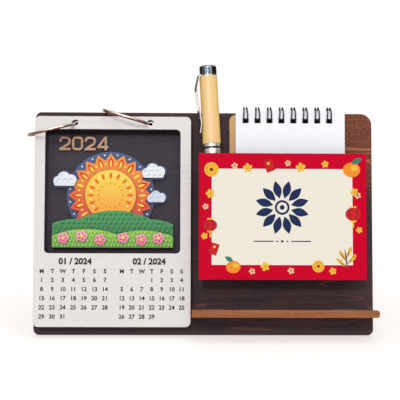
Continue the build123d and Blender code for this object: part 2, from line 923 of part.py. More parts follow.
with BuildPart() as cap_tube:
    with BuildSketch(pen_side):
        with BuildLine():
            Polyline(
                (cap_bore_radius, cap_bottom),
                (cap_radius, cap_bottom),
                (cap_radius, cap_top),
                (cap_bore_radius, cap_top),
                close=True,
            )
        make_face()
    revolve(axis=pen_axis)

with BuildPart() as cap_liner:
    with BuildSketch(pen_side):
        liner_top = cap_bottom + liner_length
        with BuildLine():
            Polyline(
                (liner_radius, cap_bottom),
                (cap_bore_radius, cap_bottom),
                (cap_bore_radius, liner_top),
                (0, liner_top),
                (0, liner_top - liner_wall),
                (liner_radius, liner_top - liner_wall),
                close=True,
            )
        make_face()
    revolve(axis=pen_axis)

finial_plug_radius = cap_bore_radius - running_gap
finial_bottom = cap_top + clip_thickness
finial_top = finial_bottom + finial_length
with BuildPart() as cap_finial:
    with BuildSketch(pen_side):
        with BuildLine():
            Polyline(
                (finial_radius - finial_rounding, finial_top),
                (0, finial_top),
                (0, cap_top - finial_plug_length),
                (finial_plug_radius, cap_top - finial_plug_length),
                (finial_plug_radius, finial_bottom),
                (finial_radius, finial_bottom),
                (finial_radius, finial_top - finial_rounding),
            )
            CenterArc(
                (finial_radius - finial_rounding, finial_top - finial_rounding),
                finial_rounding,
                0,
                90,
            )
        make_face()
    revolve(axis=pen_axis)

# The clip: a washer under the finial, and a sprung arm that bulges away from the cap. The
# arm lies to the left of the cap and is turned a little to the front.
clip_side = Plane(
    origin=pen_side.origin,
    x_dir=pen_side.x_dir * cos(radians(clip_turn)) - pen_side.z_dir * sin(radians(clip_turn)),
    z_dir=pen_side.z_dir * cos(radians(clip_turn)) + pen_side.x_dir * sin(radians(clip_turn)),
)
with BuildPart() as cap_clip:
    with BuildSketch(pen_side):
        with BuildLine():
            Polyline(
                (cap_bore_radius, cap_top),
                (clip_washer_radius, cap_top),
                (clip_washer_radius, finial_bottom),
                (cap_bore_radius, finial_bottom),
                close=True,
            )
        make_face()
    revolve(axis=pen_axis)
    with BuildSketch(clip_side.offset(-clip_width / 2)):
        arm_top = cap_top + clip_thickness / 2
        arm_inside = cap_radius + clip_lift + clip_thickness / 2
        with BuildLine():
            FilletPolyline(
                (clip_thickness - clip_washer_radius, arm_top),
                (-cap_radius - clip_shoulder, arm_top),
                (-cap_radius - clip_bulge, arm_top - clip_length * 0.25),
                (-arm_inside, arm_top - clip_length * 0.84),
                (-arm_inside - clip_flick, arm_top - clip_length),
                radius=(clip_bend, clip_sweep, clip_tip_sweep),
            )
        trace(line_width=clip_thickness)
    extrude(amount=clip_width)


pieces = {
    "backboard": backboard,
    "ledge": ledge,
    "foot_left": foot_left,
    "foot_right": foot_right,
    "pocket_front": pocket_front,
    "pocket_left_wall": pocket_left_wall,
    "pocket_right_wall": pocket_right_wall,
    "pocket_floor": pocket_floor,
    "year_numerals": year_numerals,
    "picture_backing": picture_backing,
    "picture_rays": picture_rays,
    "picture_sun": picture_sun,
    "picture_hills": picture_hills,
    "picture_clouds": picture_clouds,
    "picture_meadow": picture_meadow,
    "picture_flowers": picture_flowers,
    "picture_flower_hearts": picture_flower_hearts,
    "ring_left_half": ring_left_half,
    "ring_left_gate": ring_left_gate,
    "ring_left_pin": ring_left_pin,
    "ring_right_half": ring_right_half,
    "ring_right_gate": ring_right_gate,
    "ring_right_pin": ring_right_pin,
    "notepad_cover": notepad_cover,
    "notepad_pages": notepad_pages,
    "notepad_wire": notepad_wire,
    "pen_tail": pen_tail,
    "pen_barrel": pen_barrel,
    "pen_collar": pen_collar,
    "pen_collar_ring": pen_collar_ring,
    "pen_grip": pen_grip,
    "pen_refill": pen_refill,
    "cap_tube": cap_tube,
    "cap_liner": cap_liner,
    "cap_finial": cap_finial,
    "cap_clip": cap_clip,
}
pieces.update(zip(plate_names, month_plates))

os.makedirs("parts", exist_ok=True)
for name, piece in pieces.items():
    piece.part.label = name
    export_step(piece.part, f"parts/{name}.step")
print("pieces", len(pieces))
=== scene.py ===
# %% [markdown]
# # A desk calendar with a pen and a notepad
# The real object is a plywood board that leans back on two feet. Three white plates hang on
# two loose-leaf rings over its left half, and a pocket with a red front on its right half
# holds a capped bamboo pen and a twin-loop notepad. Its sizes and joints are already settled
# in a CAD model, so this script dresses that model: every piece gets its finish, the printed
# parts get their print, and the notepad gets a smooth wire in place of the CAD one.

# %% Load the frame and keep its box
import json
from math import asin, cos, degrees, pi, radians, sin
import bmesh
import bpy
from mathutils import Matrix, Vector


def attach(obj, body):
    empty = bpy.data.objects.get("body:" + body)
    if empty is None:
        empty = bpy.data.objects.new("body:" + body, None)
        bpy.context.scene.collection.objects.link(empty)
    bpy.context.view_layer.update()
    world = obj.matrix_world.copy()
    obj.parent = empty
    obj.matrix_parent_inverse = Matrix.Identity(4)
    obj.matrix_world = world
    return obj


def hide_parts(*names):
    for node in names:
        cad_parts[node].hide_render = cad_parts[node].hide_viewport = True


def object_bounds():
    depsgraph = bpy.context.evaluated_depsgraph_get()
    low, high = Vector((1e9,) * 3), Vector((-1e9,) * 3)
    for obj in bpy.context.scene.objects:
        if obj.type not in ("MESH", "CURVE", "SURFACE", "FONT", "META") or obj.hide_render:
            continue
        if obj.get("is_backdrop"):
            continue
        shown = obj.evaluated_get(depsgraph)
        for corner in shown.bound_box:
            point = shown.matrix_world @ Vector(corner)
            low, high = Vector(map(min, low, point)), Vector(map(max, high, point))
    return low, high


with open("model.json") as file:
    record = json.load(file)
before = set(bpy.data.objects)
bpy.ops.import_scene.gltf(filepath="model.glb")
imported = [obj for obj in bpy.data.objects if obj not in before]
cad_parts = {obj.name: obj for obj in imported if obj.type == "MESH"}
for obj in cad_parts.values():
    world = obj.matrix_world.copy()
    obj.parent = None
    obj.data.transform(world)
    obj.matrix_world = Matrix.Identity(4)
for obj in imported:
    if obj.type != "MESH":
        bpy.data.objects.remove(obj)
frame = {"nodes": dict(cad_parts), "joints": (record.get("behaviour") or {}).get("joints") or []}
cad_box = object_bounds()
scene = bpy.context.scene
print("box of the CAD model, in metres:", [tuple(corner) for corner in cad_box])

# %% [markdown]
# ## The leaning frame of the board
# Nearly everything here lies square to a board that leans back. Places are much easier to
# read when they are told from that board: x from its left edge, up along its face, and out
# from its front. The two directions come from joints that are known to run along them, and
# the corner comes from the board's own points.

# %% Directions and places on the board
MM = 0.001
joints = {joint["name"]: joint for joint in frame["joints"]}
up_board = Vector(joints["notepad_lift"]["axis"]).normalized()
out_board = -Vector(joints["ring_left_swing"]["axis"]).normalized()
along_board = up_board.cross(out_board)
board_points = [vertex.co for vertex in frame["nodes"]["backboard"].data.vertices]
board_corner = (
    along_board * min(point.dot(along_board) for point in board_points)
    + up_board * min(point.dot(up_board) for point in board_points)
    + out_board * max(point.dot(out_board) for point in board_points)
)
print("lean of the board, in degrees:", round(degrees(asin(up_board.y)), 2))


def spot(x, up, out=0.0):
    """The point at x from the board's left edge, up its face and out from its front, in mm."""
    return board_corner + (along_board * x + up_board * up + out_board * out) * MM


def on_board(point):
    """A point's x, up and out, in millimetres."""
    away = (point - board_corner) / MM
    return Vector((away.dot(along_board), away.dot(up_board), away.dot(out_board)))


def told_from_board(node):
    """The points of a CAD node, each as its x, up and out in millimetres."""
    return [on_board(vertex.co) for vertex in frame["nodes"][node].data.vertices]


def reach(node):
    """The lowest and highest x, up and out of a CAD node."""
    points = told_from_board(node)
    lowest = Vector([min(point[axis] for point in points) for axis in range(3)])
    highest = Vector([max(point[axis] for point in points) for axis in range(3)])
    return lowest, highest


def add_object(name, data):
    """A new object in the scene."""
    made = bpy.data.objects.new(name, data)
    scene.collection.objects.link(made)
    return made


# %% [markdown]
# ## Camera
# The photograph was taken from in front, a little to the right of the plates, looking down
# by about eight degrees. The board's four corners fix the view: the distance, the two turns
# and the lens were worked out from them, and a long lens keeps the board's edges parallel.

# %% The camera
camera_place = spot(96.2, 31.7, 850.0)
camera_climb = radians(4.30)
camera_turn = radians(1.41)
camera_roll = radians(0.13)

into_board = -out_board
sideways = along_board * cos(camera_turn) - into_board * sin(camera_turn)
level_look = along_board * sin(camera_turn) + into_board * cos(camera_turn)
look = level_look * cos(camera_climb) + up_board * sin(camera_climb)
axes = Matrix((sideways, sideways.cross(look), -look)).transposed().to_4x4()
camera_data = bpy.data.cameras.new("camera")
camera_data.sensor_width = 36.0
camera_data.lens = 107.8
camera = add_object("camera", camera_data)
camera.matrix_world = Matrix.Translation(camera_place) @ axes @ Matrix.Rotation(camera_roll, 4, "Z")
bpy.context.scene.camera = camera
print("camera height above the floor:", round(camera_place.z, 3))

# %% [markdown]
# ## Shader sums written as Python
# A finish is a small network of nodes. Wired by hand it is hard to read, so one class wraps
# a node's output and lets + - * add the Math nodes, and another adds any other node in one
# call. A third knows the board, so its noise can follow the grain and its colours can tell a
# face from a cut edge. After that a wood grain reads like the sum that it is.


# %% A tone
class Tone:
    """One output of a shader node. Arithmetic on it adds Math nodes to its finish."""

    def __init__(self, finish, socket):
        self.finish = finish
        self.socket = socket

    def __add__(self, other):
        return self.finish.figure("ADD", self, other)

    def __sub__(self, other):
        return self.finish.figure("SUBTRACT", self, other)

    def __rsub__(self, other):
        return self.finish.figure("SUBTRACT", other, self)

    def __mul__(self, other):
        return self.finish.figure("MULTIPLY", self, other)

    __radd__ = __add__
    __rmul__ = __mul__


# %% A network of nodes
class Network:
    """Nodes in the making: their main shader, and methods that add any other node."""

    def __init__(self, name, home=bpy.data.materials, shader="Principled BSDF"):
        self.owner = home.new(name)
        self.owner.use_nodes = True
        self.tree = self.owner.node_tree
        self.shader = self.tree.nodes[shader]

    def node(self, kind, settings=None, sockets=None, output=0):
        """Adds a node. Its settings are set first, and then its sockets get values or links."""
        made = self.tree.nodes.new(kind)
        for setting, value in (settings or {}).items():
            setattr(made, setting, value)
        self.fill(made, sockets or {})
        return Tone(self, made.outputs[output])

    def fill(self, made, sockets):
        """Gives each named socket a value, or a link where it is a tone."""
        for socket, value in sockets.items():
            if isinstance(value, Tone):
                self.tree.links.new(value.socket, made.inputs[socket])
            else:
                made.inputs[socket].default_value = value

    def coat(self, **sockets):
        """Fills the main shader's sockets: Base_Color stands for Base Color, and so on."""
        self.fill(self.shader, {name.replace("_", " "): value for name, value in sockets.items()})
        return self.owner

    def figure(self, operation, first, second=0.0):
        """A sum on one or two numbers."""
        return self.node("ShaderNodeMath", {"operation": operation}, {0: first, 1: second})

    def measure(self, operation, first, second):
        """A number measured on two vectors."""
        sockets = {0: first, 1: second}
        return self.node("ShaderNodeVectorMath", {"operation": operation}, sockets, "Value")

    def ramp(self, value, start, end):
        """0 at the start, 1 at the end, with a soft slope between them."""
        sockets = {"Value": value, "From Min": start, "From Max": end}
        return self.node("ShaderNodeMapRange", {"interpolation_type": "SMOOTHSTEP"}, sockets)


# %% A finish
class Finish(Network):
    """A network that mixes colours and knows its place on the board."""

    def mix(self, share, first, second):
        """A colour between two, by a share of the second."""
        sockets = {"Factor": share, 6: first, 7: second}
        return self.node("ShaderNodeMix", {"data_type": "RGBA"}, sockets, 2)

    def layered(self, colour, *coats):
        """Lays more colours over one. Each coat is its share and its colour."""
        for share, coat in coats:
            colour = self.mix(share, colour, coat)
        return colour

    def join(self, x, y, z):
        """Three numbers as one place."""
        return self.node("ShaderNodeCombineXYZ", {}, {0: x, 1: y, 2: z})

    def noise(self, places, detail=4.0, roughness=0.6, distortion=0.0):
        """Soft random spots about one unit wide in the places given."""
        sockets = {"Vector": places, "Scale": 1.0, "Detail": detail}
        sockets.update({"Roughness": roughness, "Distortion": distortion})
        return self.node("ShaderNodeTexNoise", {}, sockets)

    def along(self, direction, start=board_corner):
        """How far a point lies along a direction from a start, in millimetres."""
        here = self.node("ShaderNodeTexCoord", output="Object")
        return self.measure("DOT_PRODUCT", here, direction / MM) - start.dot(direction) / MM

    def board_places(self):
        """x, up and out of a point on the board, in millimetres."""
        return [self.along(direction) for direction in (along_board, up_board, out_board)]

    def grain(self, per_x, per_up, per_out, *spread):
        """Noise with so many spots per mm each way, then its detail, roughness and distortion."""
        x, up, out = self.board_places()
        return self.noise(self.join(x * per_x, up * per_up, out * per_out), *spread)

    def specks(self, per_mm, *spread):
        """The same with as many spots per mm every way."""
        return self.grain(per_mm, per_mm, per_mm, *spread)

    def looking(self, direction):
        """1 where the surface looks along a direction, 0 where it is square to it, -1 against it."""
        return self.measure("DOT_PRODUCT", self.node("ShaderNodeTexCoord", output="Normal"), direction)

    def facing(self, direction):
        """The same without its sign, so that front and back count alike."""
        return self.figure("ABSOLUTE", self.looking(direction))

    def face_or_edge(self, face, edge):
        """One colour on the faces that lie along the board, another on the cut edges."""
        return self.mix(self.ramp(self.facing(out_board), 0.4, 0.7), edge, face)

    def plies(self, turns, slope):
        """Bands through the thickness of plywood, 0 in the dark ones and 1 in the light ones."""
        wave = self.figure("SINE", self.along(out_board) * turns)
        return self.ramp(wave, -slope, slope)

    def bump(self, height, depth, softened=0.0):
        """A bumpy surface: the height from 0 to 1, the depth in millimetres, edges softened in mm."""
        sockets = {"Height": height, "Distance": depth * MM, "Strength": 1.0}
        if softened:
            sockets["Normal"] = self.node("ShaderNodeBevel", {"samples": 4}, {"Radius": softened * MM})
        return self.node("ShaderNodeBump", {}, sockets)


# %% A colour, and a finish on its pieces
tent_light = 1.5


def shade(red, green, blue, light=tent_light):
    """A colour by how it is to look on a screen, 0 to 255 each, in so much light."""
    screen = [value / 255 for value in (red, green, blue)]
    seen = [value / 12.92 if value < 0.04045 else ((value + 0.055) / 1.055) ** 2.4 for value in screen]
    return (*[value / light for value in seen], 1.0)


def wear(material, *nodes):
    """Gives CAD nodes their finish, in every material slot that they have."""
    for node in nodes:
        for slot in frame["nodes"][node].material_slots:
            slot.link = "DATA"
            slot.material = material
    print(material.name, "on", ", ".join(nodes))


# %% [markdown]
# ## Light, floor and background
# A product like this is shot between upright soft boxes, with a bright sheet overhead and a
# dim room at the sides. That contrast is what gives chrome its black and white stripes: each
# stripe on the pen's end is the reflection of one soft box. They are the world's own shader,
# told by direction. Two sun lamps add the short shadows under the edges, as a sun lights the
# whole floor evenly. The floor glows a little, like a light table, and so keeps only faint
# shadows. The camera itself sees plain white behind it all.

# %% The tent
tent = Network("white_tent", bpy.data.worlds, "Background")
scene.world = tent.owner
scene.view_settings.view_transform = "Standard"
heading = tent.node("ShaderNodeTexCoord", output="Generated")


def aim(towards):
    """The cosine of the angle between where a ray goes and a direction."""
    return tent.measure("DOT_PRODUCT", heading, towards)


def panel(towards, edge, middle, strength):
    """A round bright panel of the tent, told by the cosine of the angle to its middle."""
    return tent.ramp(aim(towards), edge, middle) * strength


def soft_box(to_right, half_width, strength, blur=4.0):
    """An upright soft box in front: degrees to the right of the middle, and half its width."""
    side = radians(to_right)
    aside = aim((cos(side), sin(side), 0.0))
    ahead = aim((sin(side), -cos(side), 0.0))
    inner = sin(radians(half_width - blur))
    outer = sin(radians(half_width + blur))
    across = tent.ramp(tent.figure("ABSOLUTE", aside), outer, inner)
    return across * tent.ramp(ahead, 0.1, 0.35) * strength


dim_room = 0.035
warm_white = (1.0, 0.992, 0.985, 1.0)
cloth = (
    soft_box(to_right=-17.0, half_width=31.0, strength=0.98)
    + soft_box(to_right=41.0, half_width=12.0, strength=0.95)
    + soft_box(to_right=-76.0, half_width=8.0, strength=0.4)
    + panel(towards=(0.0, 0.0, 1.0), edge=0.3, middle=0.8, strength=0.6)
    + panel(towards=(0.0, 1.0, 0.0), edge=0.7, middle=0.95, strength=0.25)
    + dim_room
)
camera_ray = tent.node("ShaderNodeLightPath", output="Is Camera Ray")
tent.coat(Color=warm_white, Strength=cloth + camera_ray * (1.0 - cloth))
print("nodes in the tent:", len(tent.tree.nodes))


# %% The lamps
def sun(name, left, height, strength, softness):
    """A far lamp: degrees to the left of straight in front, degrees above the floor."""
    lamp = bpy.data.lights.new(name, "SUN")
    lamp.energy = strength
    lamp.angle = radians(softness)
    side = radians(left)
    rise = radians(height)
    level = Vector((-sin(side), -cos(side), 0.0)) * cos(rise)
    from_where = level + Vector((0.0, 0.0, sin(rise)))
    add_object(name, lamp).rotation_euler = from_where.to_track_quat("Z", "Y").to_euler()


sun("key_lamp", left=10.0, height=28.0, strength=1.02, softness=8.0)
sun("top_lamp", left=-15.0, height=66.0, strength=0.5, softness=50.0)

# %% The floor
floor_finish = Finish("floor_paper")
cloud_scale = 0.004
floor_spread = floor_finish.along(Vector((1.0, 0.0, 0.0)), Vector()) * cloud_scale
floor_depth = floor_finish.along(Vector((0.0, 1.0, 0.0)), Vector()) * cloud_scale
floor_cloud = floor_finish.noise(floor_finish.join(floor_spread, floor_depth, 0.0), 3.0, 0.5)
floor_finish.coat(
    Base_Color=floor_finish.mix(floor_cloud, shade(160, 158, 158, 1.0), shade(164, 162, 162, 1.0)),
    Roughness=0.9,
    Emission_Color=floor_finish.mix(floor_cloud, shade(251, 246, 244, 1.0), shade(253, 249, 247, 1.0)),
    Emission_Strength=0.65,
)
half_side = 14.0
floor_corners = [(x * half_side, y * half_side, 0.0) for x, y in ((-1, -1), (1, -1), (1, 1), (-1, 1))]
floor_mesh = bpy.data.meshes.new("floor")
floor_mesh.from_pydata(floor_corners, [], [(0, 1, 2, 3)])
floor_mesh.materials.append(floor_finish.owner)
floor = add_object("floor", floor_mesh)
floor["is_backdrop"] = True
print("the floor is", 2 * half_side, "metres wide")

# %% [markdown]
# ## Dark stained plywood
# The board is thin plywood, stained nearly black so that its grain shows only as fine
# lengthwise lines, with redder wood towards its top right corner. Stretched noise makes such
# grain: the same soft spots, pulled out some thirty times longer along the board than across
# it. Growth lines are the contours of one broad noise, which is how they come about in a real
# veneer. Behind the plates the stain has kept its first, bluer tone, and a painted shadow lies
# in a dark line along the top of the window, under the plates' edge. The sawn edges show the
# plies as bands of lighter and darker wood.


# %% The board's stain
def outer_stain(finish, fine, hair, broad):
    """Nearly black, with fine lines and specks, and redder at the top right."""
    x, up, out = finish.board_places()
    low_red = finish.ramp(broad, 0.5, 0.7)
    red_hair = finish.ramp(hair, 0.54, 0.68)
    dark_hair = finish.ramp(hair, 0.48, 0.36)
    speckle = finish.grain(0.6, 1.5, 1.5, 4.0, 0.8)
    pale_specks = finish.ramp(speckle, 0.51, 0.6)
    dark_specks = finish.ramp(speckle, 0.49, 0.4)
    blue_black = finish.ramp(finish.grain(0.018, 0.035, 0.035, 2.0, 0.5, 0.8), 0.52, 0.42)
    contours = finish.grain(0.003, 0.04, 0.04, 2.0, 0.5, 0.2) * 76.0
    growth = finish.ramp(finish.figure("SINE", contours), 0.965, 1.0)
    to_corner = finish.ramp(x, 196.0, 232.0) * finish.ramp(up, 70.0, 148.0)
    red_patch = finish.ramp(to_corner + (broad - 0.5) * 0.7, 0.15, 0.75)
    reddish = finish.mix(finish.ramp(fine, 0.3, 0.7), shade(80, 40, 32), shade(138, 78, 56))
    reddish = finish.mix(pale_specks * 0.55, reddish, shade(196, 114, 76))
    return finish.layered(
        finish.mix(finish.ramp(fine, 0.2, 0.8), shade(40, 26, 31), shade(90, 69, 75)),
        (low_red * 0.35, shade(100, 58, 50)),
        (red_hair * (0.15 + low_red * 0.4), shade(128, 78, 62)),
        (blue_black * 0.55, shade(50, 44, 56)),
        (pale_specks * (0.1 + low_red * 0.3), shade(150, 94, 72)),
        (red_patch, reddish),
        (dark_hair * 0.3 + dark_specks * 0.4, shade(24, 17, 20)),
        (growth * (0.14 + red_patch * 0.46), shade(214, 128, 80)),
    )


# %% The stain behind the plates
# Where each change starts and ends, in mm from the board's left edge, foot or front.
covered_side = (106.0, 100.0)
covered_foot = (54.0, 60.0)
covered_top = (150.0, 144.0)
covered_front = (-2.0, -1.0)
# Where the painted shadow under the plates' edge starts and ends, up the board.
painted_shadow_run = (140.4, 142.8)


def covered_stain(finish, fine, stain):
    """The stain, turned bluer behind the plates, with a painted shadow in a dark line along the window's
    top.
    """
    x, up, out = finish.board_places()
    covered = finish.ramp(x, *covered_side) * finish.ramp(up, *covered_foot)
    covered = covered * finish.ramp(up, *covered_top) * finish.ramp(out, *covered_front)
    return finish.layered(
        stain,
        (covered * 0.75, finish.mix(fine, shade(44, 42, 54), shade(78, 76, 90))),
        # A painted shadow: near black along the top of the window, under the plates' edge.
        (finish.ramp(up, *painted_shadow_run) * covered * 0.9, shade(12, 6, 6)),
    )


# %% The board's finish
def dark_plywood():
    finish = Finish("dark_stained_plywood")
    fine = finish.grain(0.09, 2.6, 2.6, 6.0, 0.78)
    hair = finish.grain(0.035, 1.5, 1.5, 5.0, 0.75, 0.2)
    broad = finish.grain(0.012, 0.16, 0.16, 3.0, 0.55, 0.4)
    stain = covered_stain(finish, fine, outer_stain(finish, fine, hair, broad))
    sawn = finish.mix(finish.plies(4.7, 0.4), shade(46, 32, 28), shade(92, 62, 48))
    sawn = finish.mix(fine * 0.6, sawn, shade(36, 26, 24))
    return finish.coat(
        Base_Color=finish.face_or_edge(stain, sawn),
        Roughness=0.52 + fine * 0.25,
        Specular_IOR_Level=0.2,
        Normal=finish.bump(fine * 0.6 + hair * 0.4, 0.16, 0.35),
    )


wear(dark_plywood(), "backboard", "foot_left", "foot_right")

# %% [markdown]
# ## Brown ledge
# The ledge is a strip of solid wood with a warm brown stain and eased front corners. Its
# pores show as pale and dark specks, so one more noise with short spots goes over the grain.


# %% The ledge's finish
def brown_wood():
    finish = Finish("brown_stained_wood")
    fine = finish.grain(0.06, 1.8, 1.8, 5.0, 0.65)
    broad = finish.grain(0.015, 0.3, 0.3, 3.0, 0.5, 0.5)
    specks = finish.grain(0.5, 1.2, 1.2, 4.0, 0.8)
    return finish.coat(
        Base_Color=finish.layered(
            finish.mix(finish.ramp(fine, 0.3, 0.7), shade(142, 79, 42), shade(187, 114, 68)),
            (finish.ramp(broad, 0.4, 0.75) * 0.5, shade(116, 62, 32)),
            (finish.ramp(specks, 0.54, 0.68) * 0.45, shade(212, 138, 86)),
            (finish.ramp(specks, 0.46, 0.34) * 0.4, shade(98, 52, 28)),
        ),
        Roughness=0.5 + fine * 0.2,
        Specular_IOR_Level=0.25,
        Normal=finish.bump(fine, 0.1, 0.6),
    )


wear(brown_wood(), "ledge")

# %% [markdown]
# ## White month plates
# The plates are thin plywood with a printed white face, through which the grain still shows
# as faint level lines. Their laser-cut edges are left raw, so they are browner. The walls of
# the window and of the two ring holes are charred too, and are painted almost black beyond
# that as the shade inside those recesses.

# %% Where the plates are painted dark as shade
# Again where each change starts and ends, on the board or from the middle of a hole.
plate_high = reach("plate_front")[1]
window_left = (5.0, 7.0)
window_right = (106.0, 104.0)
window_foot = (55.0, 57.0)
window_top = (147.5, 145.5)
hole_wall_shade = (3.6, 3.0)
ring_holes = [(28.9, plate_high.y - 4.9, 0.0), (81.7, plate_high.y - 4.9, 0.0)]
print("ring holes at x and up:", [(x, round(up, 1)) for x, up, out in ring_holes])


# %% The plates' finish
def white_plywood():
    finish = Finish("white_printed_plywood")
    x, up, out = finish.board_places()
    fine = finish.grain(0.035, 1.3, 0.0)
    lines = finish.ramp(finish.grain(0.015, 0.55, 0.0, 4.0, 0.7), 0.54, 0.7)
    face = finish.mix(fine, shade(224, 219, 217), shade(238, 235, 234))
    face = finish.mix(lines * 0.5, face, shade(208, 201, 198))
    sawn = finish.mix(finish.plies(6.2, 0.5), shade(78, 58, 48), shade(134, 112, 98))
    # Painted shade: the cut walls inside the window, charred like every edge, are painted near black for
    # the shade in that recess.
    window_wall_shade = finish.ramp(x, *window_left) * finish.ramp(x, *window_right)
    window_wall_shade = window_wall_shade * finish.ramp(up, *window_foot) * finish.ramp(up, *window_top)
    sawn = finish.mix(window_wall_shade, sawn, finish.mix(fine, shade(20, 13, 11), shade(44, 32, 27)))
    # Painted shade: the walls of the two ring holes are painted dark for the shade inside them.
    for hole in ring_holes:
        away = finish.measure("DISTANCE", finish.join(x, up, 0.0), hole)
        sawn = finish.mix(finish.ramp(away, *hole_wall_shade), sawn, shade(34, 26, 24))
    return finish.coat(
        Base_Color=finish.face_or_edge(face, sawn),
        Roughness=0.42 + fine * 0.2,
        Normal=finish.bump(fine, 0.05, 0.3),
    )


wear(white_plywood(), "plate_front", "plate_middle", "plate_back")


# %% The numerals' finish
def light_wood():
    finish = Finish("light_wood")
    fine = finish.grain(0.1, 2.2, 0.6)
    face = finish.mix(finish.ramp(fine, 0.35, 0.65), shade(158, 116, 90), shade(222, 178, 146))
    # The cut edges are charred brown, and painted darker still as the shade round the numerals.
    return finish.coat(
        Base_Color=finish.face_or_edge(face, finish.mix(fine, shade(52, 32, 24), shade(84, 54, 40))),
        Roughness=0.5 + fine * 0.2,
        Normal=finish.bump(fine, 0.08, 0.25),
    )


wear(light_wood(), "year_numerals")

# %% [markdown]
# ## Painted cut-outs of the picture
# Each layer of the picture is a thin board, printed in flat bright colours and cut out with
# a laser. The colour deepens a little from top to bottom, as such prints do, and the cut
# edge is scorched brown.


# %% A painted cut-out's finish
def painted(name, upper, lower, node):
    """A printed layer: its colour runs from upper to lower over the height of its node."""
    finish = Finish(name)
    low, high = reach(node)
    speckle = finish.specks(1.4)
    fall = finish.ramp(finish.along(up_board) + (speckle - 0.5) * 6.0, low.y, high.y)
    face = finish.mix(speckle * 0.12, finish.mix(fall, lower, upper), shade(255, 250, 240))
    return finish.coat(
        Base_Color=finish.face_or_edge(face, finish.mix(speckle, shade(84, 52, 34), shade(142, 98, 66))),
        Roughness=0.38 + speckle * 0.15,
        Specular_IOR_Level=0.15,
        Normal=finish.bump(speckle, 0.04, 0.2),
    )


# Each layer has the name of its colour, and that colour at its top and at its foot.
picture_layers = {
    "picture_backing": ("navy", (46, 82, 140), (28, 48, 98)),
    "picture_rays": ("orange", (250, 146, 24), (220, 58, 18)),
    "picture_sun": ("yellow", (255, 218, 60), (250, 168, 20)),
    "picture_flower_hearts": ("yellow_heart", (255, 226, 92), (250, 190, 50)),
    "picture_hills": ("green", (40, 150, 78), (16, 98, 54)),
    "picture_meadow": ("light_green", (150, 202, 62), (92, 166, 50)),
    "picture_clouds": ("white", (250, 250, 252), (214, 226, 240)),
    "picture_flowers": ("pink", (252, 176, 200), (238, 110, 154)),
}
for node, (colour, top, foot) in picture_layers.items():
    wear(painted(colour + "_print", shade(*top), shade(*foot), node), node)

# %% [markdown]
# ## Ring metal and the pen's fittings
# The loose-leaf rings are steel wire with a copper plating, pale on top of the wire and with
# a painted shade in dark red on its underside. A metal's colour is its reflection, so each of
# these finishes is one strong metal with a soft change of colour and fine scuffs, and the tent
# does the rest; only the rings have their shade painted on as well.


# %% Metals
def scuffed(finish, colour, roughness, scuffing):
    """Metal of some colour: how rough it is, and how much its scuffs add to that."""
    scuffs = finish.specks(3.0, 3.0)
    return finish.coat(
        Base_Color=colour,
        Metallic=1.0,
        Roughness=roughness + scuffs * scuffing,
        Normal=finish.bump(scuffs, 0.01),
    )


def metal(name, clean, tarnished, roughness):
    """A plated metal: its clean colour, its tarnished colour and how rough it is."""
    finish = Finish(name)
    cloud = finish.ramp(finish.specks(0.25), 0.35, 0.7)
    return scuffed(finish, finish.mix(cloud, (*clean, 1.0), (*tarnished, 1.0)), roughness, 0.12)


def worn_plating():
    """Steel plated with copper: pale on top of the wire, with a painted shade in dark red under it."""
    finish = Finish("copper_plating_painted_shade")
    cloud = finish.specks(0.3)
    # Painted shade: the wire's underside is coloured dark red, as the shade that falls there.
    shaded_underside = finish.ramp(finish.looking(up_board) + (cloud - 0.5) * 0.4, 0.05, -0.4)
    pale_copper = finish.mix(cloud, (0.9, 0.84, 0.76, 1.0), (0.74, 0.6, 0.5, 1.0))
    return scuffed(finish, finish.mix(shaded_underside, pale_copper, (0.2, 0.05, 0.03, 1.0)), 0.08, 0.08)


ring_pieces = [f"ring_{side}_{part}" for side in ("left", "right") for part in ("half", "gate", "pin")]
wear(worn_plating(), *ring_pieces)
wear(metal("bright_chrome", (0.96, 0.93, 0.87), (0.88, 0.84, 0.76), 0.28), "pen_collar")
wear(metal("black_chrome", (0.32, 0.38, 0.42), (0.2, 0.24, 0.27), 0.02), "cap_finial")
wear(metal("polished_steel", (0.85, 0.82, 0.78), (0.66, 0.62, 0.58), 0.08), "cap_clip")

# %% [markdown]
# ## Red pocket
# The pocket is red throughout: a panel with a satin print on its front, and painted walls
# behind it. The print is slightly uneven and its cut edges are a deeper red.


# %% The pocket's finish
def crimson():
    finish = Finish("crimson_satin")
    face = finish.mix(finish.specks(0.03, 3.0, 0.5), shade(205, 0, 38), shade(215, 0, 48))
    orange_peel = finish.specks(1.1, 3.0, 0.5)
    sawn = finish.mix(orange_peel, shade(138, 4, 24), shade(168, 8, 34))
    return finish.coat(
        Base_Color=finish.face_or_edge(face, sawn),
        Roughness=0.42 + orange_peel * 0.1,
        Specular_IOR_Level=0.03,
        Normal=finish.bump(orange_peel, 0.02, 0.3),
    )


wear(crimson(), "pocket_front", "pocket_left_wall", "pocket_right_wall", "pocket_floor")

# %% [markdown]
# ## Paper and card
# The pages are a block of some sixty sheets, so their edges show as fine lines one above
# the other. The cover is grey-brown card with short fibres in it.


# %% Paper and card
def paper():
    finish = Finish("white_paper")
    fibres = finish.grain(1.8, 0.7, 1.8)
    sheets = finish.figure("SINE", finish.along(out_board) * 62.0 + fibres * 3.0)
    face = finish.mix(fibres, shade(252, 256, 264), shade(262, 265, 271))
    stack = finish.mix(finish.ramp(sheets, -0.6, 0.8), shade(206, 206, 208), shade(246, 246, 246))
    return finish.coat(
        Base_Color=finish.face_or_edge(face, stack),
        Roughness=0.75 + fibres * 0.15,
        Normal=finish.bump(fibres, 0.03),
    )


